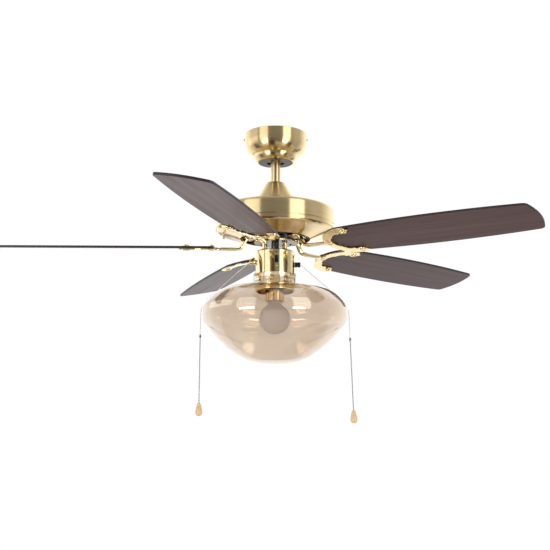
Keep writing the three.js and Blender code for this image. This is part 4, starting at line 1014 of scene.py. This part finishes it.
def blade_screws(index):
    """Each screw's head on its washer on top of the blade."""
    parts = []
    for x, y in BOSSES:
        washer = spun([(2.6, 7.3), (8.2, 7.3), (8.2, 8.5), (2.6, 8.5)], 32, 0.3)
        parts += [placed(washer, at(x, y)), placed(pan_head(4.6, 2.8), at(x, y, 8.5))]
    return placed(joined(*parts), blade_frame(index))


for number in range(BLADE_COUNT):
    label = str(number + 1)
    iron_looks = [POLISHED, PAINTED_RECESS_SHADE]
    iron = "blade_iron_" + label
    finished("cast_" + iron, blade_iron(number), iron_looks, "rotor", iron)
    finished("walnut_blade_" + label, blade(number), [WALNUT, EDGE], "rotor", "blade_" + label)
    finished("blade_screws_" + label, blade_screws(number), iron_looks, "rotor")


# ---------- Plate, posts and leads under the motor ----------
def lower_plate():
    low, high = box_of("lower_plate")
    slot = rounded_rectangle(*LEAD_SLOT)
    disc = slab(circle(high.x, 128), low.z, high.z, 0.6, 2, holes=[circle(8.3, 48), slot])
    disc.normal_update()
    # The downward faces are painted gloss black: painted dark reflection on the brass plate, whose rim stays brass
    painted(disc, 2, lambda face: face.normal.z < -0.8)
    screws = [placed(pan_head(4.4, 2.4), turn(a) @ at(42, 0, low.z) @ turn(180, "X")) for a in (265, 25, 145)]
    return joined(disc, *screws)


def post(degrees):
    top, bottom = box_of("lower_plate")[0].z - 0.3, box_of("switch_housing")[1].z + 0.3
    outline = [
        (0, bottom),
        (7, bottom),
        (7, bottom + 3),
        (6.4, bottom + 4),
        (6.4, top - 4),
        (7, top - 3),
        (7, top),
        (0, top),
    ]
    return placed(spun(outline, 48, 0.4), turn(degrees) @ at(28))


def leads():
    low, high = box_of("motor_leads")
    parts = []
    for x, bow in ((-5.9, -0.6), (0, 0.2), (5.9, 0.5)):
        bent = [(x, -31, high.z), (x + bow * 0.4, -31 - abs(bow), -279), (x + bow, -31.4, -288), (x, -31, low.z)]
        route = through(bent, 8)
        parts.append(swept(route, circle(2.8, 16), name="lead"))
    return joined(*parts)


plate_looks = [POLISHED, PAINTED_RECESS_SHADE, BLACK_VINYL_AND_PAINTED_REFLECTION]
finished("motor_bottom_plate", lower_plate(), plate_looks, "hung_part", "lower_plate")
for number, degrees in enumerate((205, 325, 85)):
    node = "housing_post_" + str(number + 1)
    finished("turned_post_" + str(number + 1), post(degrees), POLISHED, "hung_part", node)
finished("black_motor_leads", leads(), BLACK_VINYL_AND_PAINTED_REFLECTION, "hung_part", "motor_leads")


# ---------- Switch housing ----------
GLASS_SCREW_TURNS = (88, 208, 328)
housing_low, housing_high = box_of("switch_housing")
HOUSING_RADIUS = housing_high.x
SLOT_X, SLOT_TOP = 3.5, -313.0


def switch_housing():
    top, low, r = housing_high.z, housing_low.z, HOUSING_RADIUS
    shoulder = arc((r - 3.5, top - 3.5), 3.5, 90, 0, 6)
    outer = line_of([(10, top), (r - 3.5, top)], shoulder, [(r, low + 0.6), (r - 0.3, low)])
    inner = [(r - 1.3, low), (r - 1.3, top - 3.6), (r - 3.9, top - 1.3), (10, top - 1.3)]
    body = spun([*outer, *inner], 160)
    slot = slab(rounded_rectangle(SLOT_X - 4.35, SLOT_X + 4.35, SLOT_TOP - 18, SLOT_TOP, 0.8), -6, 6)
    cutters = [
        placed(slot, at(y=-r) @ turn(90, "X")),
        placed(bar(1.8, -6, 6, 20), at(SLOT_X, -r, SLOT_TOP + 8) @ turn(90, "X")),
        placed(slab(rounded_rectangle(*LEAD_SLOT), -4, 4), at(z=top)),
        placed(bar(4, -6, 6, 24), at(-r, 0, SPEED_FERRULE_Z) @ turn(90, "Y")),
        placed(bar(4, -6, 6, 24), at(r, 0, LIGHT_FERRULE_Z) @ turn(90, "Y")),
    ]
    cutters += [placed(bar(2.1, r - 5, r + 5, 20), at(z=GLASS_SCREW_Z) @ outward(a)) for a in GLASS_SCREW_TURNS]
    rivet = spun([(0, -1.2), (1.9, -1.2), (1.9, 0.1), *through([(1.7, 0.5), (1.1, 0.9), (0.4, 1.0)], 2), (0, 1.0)], 24)
    return joined(carved(body, *cutters), placed(rivet, at(SLOT_X, -r + 0.05, -339) @ turn(90, "X")))


def reverse_knob():
    low, high = box_of("reverse_slider")
    width, height = (high.x - low.x) / 2, high.z - low.z
    body = slab(rounded_rectangle(-width, width, -height / 2, height / 2, 0.9), -6.2, -0.1, 0.3)
    ridges = []
    for z in (-3, -1.5, 0, 1.5, 3):
        outline = rounded_rectangle(-width + 0.8, width - 0.8, z - 0.45, z + 0.45, 0.4)
        ridges.append(slab(outline, -0.6, 0.25, 0.15))
    # The knob's face stands forward of the wall, with its ridges
    front = at(SLOT_X, low.y, (low.z + high.z) / 2) @ turn(90, "X")
    return placed(joined(body, *ridges), front)


finished("switch_housing_cup", switch_housing(), POLISHED, "hung_part", "switch_housing")
finished("reverse_knob_ridged", reverse_knob(), BLACK, "reverse_knob", "reverse_slider")


def speed_ferrule():
    start, end, r = HOUSING_RADIUS + 0.3, FERRULE_REACH, 7.4
    outline = line_of(
        [(2, start), (r - 1.6, start), (r - 1.4, start + 1)],
        through([(r - 2.2, start + 3), (r - 2.3, start + 5), (r - 1, end - 5), (r, end - 3.6)], 4),
        [(r, end - 1.6)],
        through([(r - 0.5, end - 0.6), (r - 2, end), (3.6, end - 0.3), (2.4, end - 2)], 3),
        [(2, end - 5)],
    )
    body = spun(outline, 48)
    pins = [placed(bar(1.3, 3, 12, 16), at(z=end - 4.6) @ turn(a) @ turn(90, "Y")) for a in (40, 220)]
    return placed(carved(body, *pins), at(z=SPEED_FERRULE_Z) @ outward(180))


def light_ferrule():
    """A black hexagon nut and a round bushing, with a groove between them."""
    start, end = HOUSING_RADIUS + 0.3, FERRULE_REACH
    nut = spun([(2, start), (6.5, start), (6.5, start + 5.4), (2, start + 5.4)], 6, 0.5, 2)
    neck = spun([(2, start + 5.3), (5.0, start + 5.3), (5.0, start + 6.7), (2, start + 6.7)], 32)
    ring = spun([(2, start + 6.6), (6.1, start + 6.6), (6.1, end - 0.2), (2.4, end - 0.2), (2, end - 2)], 32, 0.5, 2)
    return placed(joined(nut, neck, ring), at(z=LIGHT_FERRULE_Z) @ outward(0))


finished("speed_bell_ferrule", speed_ferrule(), POLISHED, "hung_part", "speed_ferrule")
finished("light_nipple_and_nut", light_ferrule(), BLACK, "hung_part", "light_ferrule", sharp=25)


# ---------- Fitter with its braided band ----------
BAND_TOP, BAND_BOTTOM = -361.3, -381.3


def fitter():
    low, high = box_of("fitter")
    r = HOUSING_RADIUS
    bore, collar = r - 1.6, 44.2
    outline = line_of(
        [(6, -366), (collar, -366), (collar, high.z), (r - 1.6, high.z), (r - 1.6, BAND_TOP)],
        [(r - 0.4, BAND_TOP)],
        arc((r - 0.4, BAND_TOP - 1.3), 1.3, 90, -70, 8),
        [(44.6, BAND_TOP - 3.2), (44.6, BAND_BOTTOM + 3.2)],
        arc((r - 0.1, BAND_BOTTOM + 1.4), 1.4, 80, -90, 8),
        through([(r - 1.2, BAND_BOTTOM - 0.6), (r - 1.9, BAND_BOTTOM - 2.2), (r - 1.2, low.z + 5.4)], 4),
        [(r + 0.2, low.z + 4.8)],
        through([(r + 0.9, low.z + 3.8), (r + 1.0, low.z + 2), (r + 0.6, low.z + 0.5)], 3),
        [(r - 0.2, low.z), (bore - 1.0, low.z), (bore - 1.0, -368), (6, -368)],
    )
    return spun(outline, 192, 0.15)


def braid():
    """Three strands plaited in a ring round the fitter, each a flattened bead that passes over and under."""
    waves, points_round = 18, 648
    centre_z, swing, depth, radius = (BAND_TOP + BAND_BOTTOM) / 2, 4.5, 1.1, 46.7
    section = [(1.85 * x, 2.35 * y) for x, y in circle(1, 8)]
    parts = []
    for strand in range(3):
        ring = bmesh.new()
        rows = []
        for i in range(points_round):
            share = i / points_round
            phase = math.tau * (waves * share + strand / 3)
            angle = math.tau * share
            r = radius + depth * math.sin(2 * phase)
            z = centre_z + swing * math.sin(phase)
            out = Vector((math.cos(angle), math.sin(angle), 0))
            row = [ring.verts.new((out * (r + x) + Vector((0, 0, z + y))) * MM) for x, y in section]
            rows.append(row)
        for a, b in zip(rows, rows[1:] + rows[:1]):
            for j in range(len(section)):
                k = (j + 1) % len(section)
                ring.faces.new((a[j], a[k], b[k], b[j]))
        bmesh.ops.recalc_face_normals(ring, faces=ring.faces)
        parts.append(ring)
    return joined(*parts)


finished("light_fitter", fitter(), POLISHED, "hung_part", "fitter")
finished("fitter_braided_band", braid(), POLISHED, "hung_part")


# ---------- Lamp ----------
def socket_shell():
    low, high = box_of("socket_shell")
    r = high.x
    outline = line_of(
        [(6, high.z), (r - 2.4, high.z)],
        arc((r - 2.4, high.z - 2.4), 2.4, 90, 0, 5),
        [(r, high.z - 9), (r - 0.5, high.z - 9.6), (r - 0.5, high.z - 10.6), (r, high.z - 11.2)],
        [(r, low.z + 3.2), (r + 0.5, low.z + 2.6), (r + 0.5, low.z + 0.6), (r - 0.1, low.z)],
        [(r - 1, low.z), (r - 1, high.z - 2), (6, high.z - 1)],
    )
    body = spun(outline, 128, 0.15)
    screw = placed(pan_head(2.6, 1.4), at(z=(low.z + high.z) / 2) @ turn(-88) @ at(r - 0.2) @ turn(90, "Y"))
    return joined(body, screw)


def socket_liner():
    low, high = box_of("socket_liner")
    r = high.x
    return spun([(0, high.z), (r, high.z), (r, low.z), (r - 5, low.z), (r - 5, high.z - 6), (0, high.z - 6)], 96, 0.6)


def bulb_base():
    """A rolled screw cap."""
    low, high = box_of("bulb_base")
    turns = []
    pitch = 3.6
    count = int((high.z - 4 - low.z - 1) / pitch)
    for i in range(count):
        z = low.z + 1 + pitch * i
        turns += [(12.1, z), (12.7, z + pitch * 0.25), (13.0, z + pitch * 0.5), (12.7, z + pitch * 0.75)]
    return spun([(0, low.z), (12.6, low.z), *turns, (11.5, high.z - 3.4), (8, high.z), (0, high.z)], 48)


def bulb():
    low, high = box_of("bulb_globe")
    centre = low.z + high.x
    globe = arc((0, centre), high.x, 52, -84, 28)
    neck = through([(13, high.z), (14.6, high.z - 2.5), (17.4, high.z - 8), globe[0]], 6)
    return spun(line_of([(0, high.z)], neck, globe, [(0, low.z)]), 96)


finished("lamp_socket_shell", socket_shell(), [POLISHED, PAINTED_RECESS_SHADE], "hung_part", "socket_shell")
finished("lamp_socket_liner", socket_liner(), PORCELAIN, "hung_part", "socket_liner")
finished("bulb_screw_cap", bulb_base(), ZINC, "hung_part", "bulb_base")
finished("bulb", bulb(), PEARL, "hung_part", "bulb_globe")


# ---------- Glass bowl ----------
def bowl_line():
    """The bowl's outer line from its collar's mouth over the shoulder and down to the bottom."""
    low, high = box_of("glass_shade")
    r, widest, collar = high.x, -444.0, GLASS_COLLAR_RADIUS
    drop = widest - low.z
    shares = [
        (0.58, widest + 56),
        (0.808, widest + 45),
        (0.956, widest + 21),
        (1.0, widest),
        (0.976, widest - drop * 0.19),
        (0.854, widest - drop * 0.42),
        (0.683, widest - drop * 0.65),
        (0.507, widest - drop * 0.83),
        (0.336, widest - drop * 0.94),
        (0.16, widest - drop * 0.987),
    ]
    bowl = [(r * share, z) for share, z in shares]
    neck = [(collar, -372), (collar + 0.6, -376.6), (collar + 4.2, -380.6)]
    start = [(collar, high.z - 1.1), (collar, -362)]
    return line_of(start, through([*neck, *bowl, (0, low.z)], 9))


def bowl():
    wall = 2.2
    closed = lined(bowl_line(), -wall)
    half = len(closed) // 2
    outer, inner = closed[:half], closed[half:]
    outer[-1] = (0, outer[-1][1])
    inner[0] = (0, outer[-1][1] + wall)
    top = box_of("glass_shade")[1].z
    mouth = [(outer[0][0] - 0.35, top - 0.35), (outer[0][0] - wall / 2, top), (outer[0][0] - wall + 0.35, top - 0.35)]
    outline = [*reversed(outer), *mouth, *reversed(inner)]
    body = spun(outline, 192, closed=False)
    holes = [placed(bar(2.1, 46, 55, 24), at(z=GLASS_SCREW_Z) @ outward(a)) for a in GLASS_SCREW_TURNS]
    return carved(body, *holes)


def glass_screw(degrees):
    """A thumb screw with a knurled head."""
    start = GLASS_COLLAR_RADIUS + 0.3
    knurl = []
    for i in range(48):
        r = 3.4 if i % 2 else 3.05
        knurl.append((r * math.cos(math.tau * i / 48), r * math.sin(math.tau * i / 48)))
    head = slab(knurl, start, start + 4, 0.2, 1)
    collar = spun([(0, start - 0.2), (2.4, start - 0.2), (2.4, start + 0.4), (0, start + 0.4)], 24)
    shank = bar(1.8, 41, start + 0.2, 24, 0.2)
    # The head's dimple is painted dark: painted shade in its hollow
    dimple = painted(spun([(0, start + 3.9), (1.6, start + 4.05), (1.9, start + 4.1), (0, start + 4.1)], 20), 1)
    return placed(joined(head, collar, shank, dimple), at(z=GLASS_SCREW_Z) @ outward(degrees))


glass = finished("blown_glass_bowl", bowl(), BOWL, "hung_part", "glass_shade", sharp=60)
glass.modifiers.clear()
for number, (screw_body, degrees) in enumerate(zip(("screw_back", "screw_left", "screw_right"), GLASS_SCREW_TURNS)):
    node = "glass_screw_" + str(number + 1)
    finished("knurled_" + node, glass_screw(degrees), [POLISHED, PAINTED_RECESS_SHADE], screw_body, node)

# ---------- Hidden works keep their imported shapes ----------
HIDDEN = {
    "ball_pin": ZINC,
    "motor_yoke": ALUMINIUM,
    "yoke_pin": ZINC,
    "motor_shaft": ZINC,
    "stator_core": CORE,
    "winding_upper": COPPER,
    "winding_lower": COPPER,
    "rotor_ring": CORE,
    "rotor_case_top": ALUMINIUM,
    "bearing_upper": ZINC,
    "bearing_lower": ZINC,
    "speed_switch": GREY,
    "light_switch": BLACK,
    "capacitor": BLACK,
    "reverse_switch": BLACK,
}
for hidden_name, hidden_look in HIDDEN.items():
    nodes[hidden_name].data.materials.clear()
    nodes[hidden_name].data.materials.append(hidden_look)


# ---------- Studio ----------
def softbox(name, place, aim, width, height, watts, tint="#ffffff"):
    lamp = bpy.data.lights.new(name, "AREA")
    lamp.shape = "RECTANGLE"
    lamp.size, lamp.size_y = width, height
    lamp.energy = watts
    lamp.color = linear(tint)[:3]
    holder = bpy.data.objects.new(name, lamp)
    bpy.context.scene.collection.objects.link(holder)
    way = Vector(aim) - Vector(place)
    holder.location = place
    holder.rotation_mode = "QUATERNION"
    holder.rotation_quaternion = way.to_track_quat("-Z", "Y")
    holder.visible_camera = False
    return holder


def round_about(degrees, distance, height):
    """A place round the fan: 0 degrees is towards the camera, positive to its right."""
    return (distance * math.sin(math.radians(degrees)), -distance * math.cos(math.radians(degrees)), height)


def studio():
    aim = (0, 0, -0.3)
    softbox("tall_box_left", round_about(-44, 1.9, -0.05), aim, 1.05, 2.1, 7.5)
    softbox("tall_box_right", round_about(41, 1.9, -0.05), aim, 0.95, 2.1, 10.5)
    softbox("side_box_left", round_about(-92, 1.35, 0.0), (0, 0, 0.0), 1.3, 0.55, 2)
    softbox("low_box_left", round_about(-43, 1.7, -0.92), (0, 0, -0.45), 0.72, 0.27, 8)
    softbox("low_box_right", round_about(37, 1.7, -0.92), (0, 0, -0.45), 0.56, 0.27, 6.5)
    world = bpy.data.worlds.new("studio")
    bpy.context.scene.world = world
    world.use_nodes = True
    tree = world.node_tree
    tree.nodes.clear()
    way = add(tree, "ShaderNodeTexCoord").outputs["Generated"]
    parts = add(tree, "ShaderNodeSeparateXYZ", {0: way})
    depth = add(tree, "ShaderNodeMapRange", {0: parts.outputs["Y"], 1: -0.95, 2: -0.2, 3: 0.27, 4: 0.62})
    behind = add(tree, "ShaderNodeMapRange", {0: parts.outputs["Y"], 1: 0.15, 2: 0.7, 3: 0.0, 4: 0.85})
    below = add(tree, "ShaderNodeMapRange", {0: parts.outputs["Z"], 1: -0.12, 2: -0.5, 3: 0.0, 4: -0.2})
    both = add(tree, "ShaderNodeMath", {0: depth.outputs[0], 1: behind.outputs[0]}, operation="ADD")
    level = add(tree, "ShaderNodeMath", {0: both.outputs[0], 1: below.outputs[0]}, operation="ADD")
    white = (1, 1, 1, 1)
    room = add(tree, "ShaderNodeBackground", {"Color": white, "Strength": level.outputs[0]})
    sweep = add(tree, "ShaderNodeBackground", {"Color": white, "Strength": 1.0})
    seen = add(tree, "ShaderNodeLightPath")
    either = add(
        tree,
        "ShaderNodeMath",
        {0: seen.outputs["Is Camera Ray"], 1: seen.outputs["Is Transmission Ray"]},
        operation="MAXIMUM",
    )
    mixed = add(tree, "ShaderNodeMixShader", {0: either.outputs[0], 1: room.outputs[0], 2: sweep.outputs[0]})
    add(tree, "ShaderNodeOutputWorld", {"Surface": mixed.outputs[0]})
    floor = bmesh.new()
    bmesh.ops.create_circle(floor, cap_ends=True, segments=96, radius=4, matrix=Matrix.Translation((0, 0, -3.1)))
    mesh = bpy.data.meshes.new("studio_floor")
    floor.to_mesh(mesh)
    floor.free()
    mesh.materials.append(speckled("pale_studio_floor", "#e9e9e8", "#f2f2f1", 20, 0.7, 0.02))
    ground = bpy.data.objects.new("studio_floor", mesh)
    bpy.context.scene.collection.objects.link(ground)


studio()
bpy.context.scene.view_settings.view_transform = "Standard"
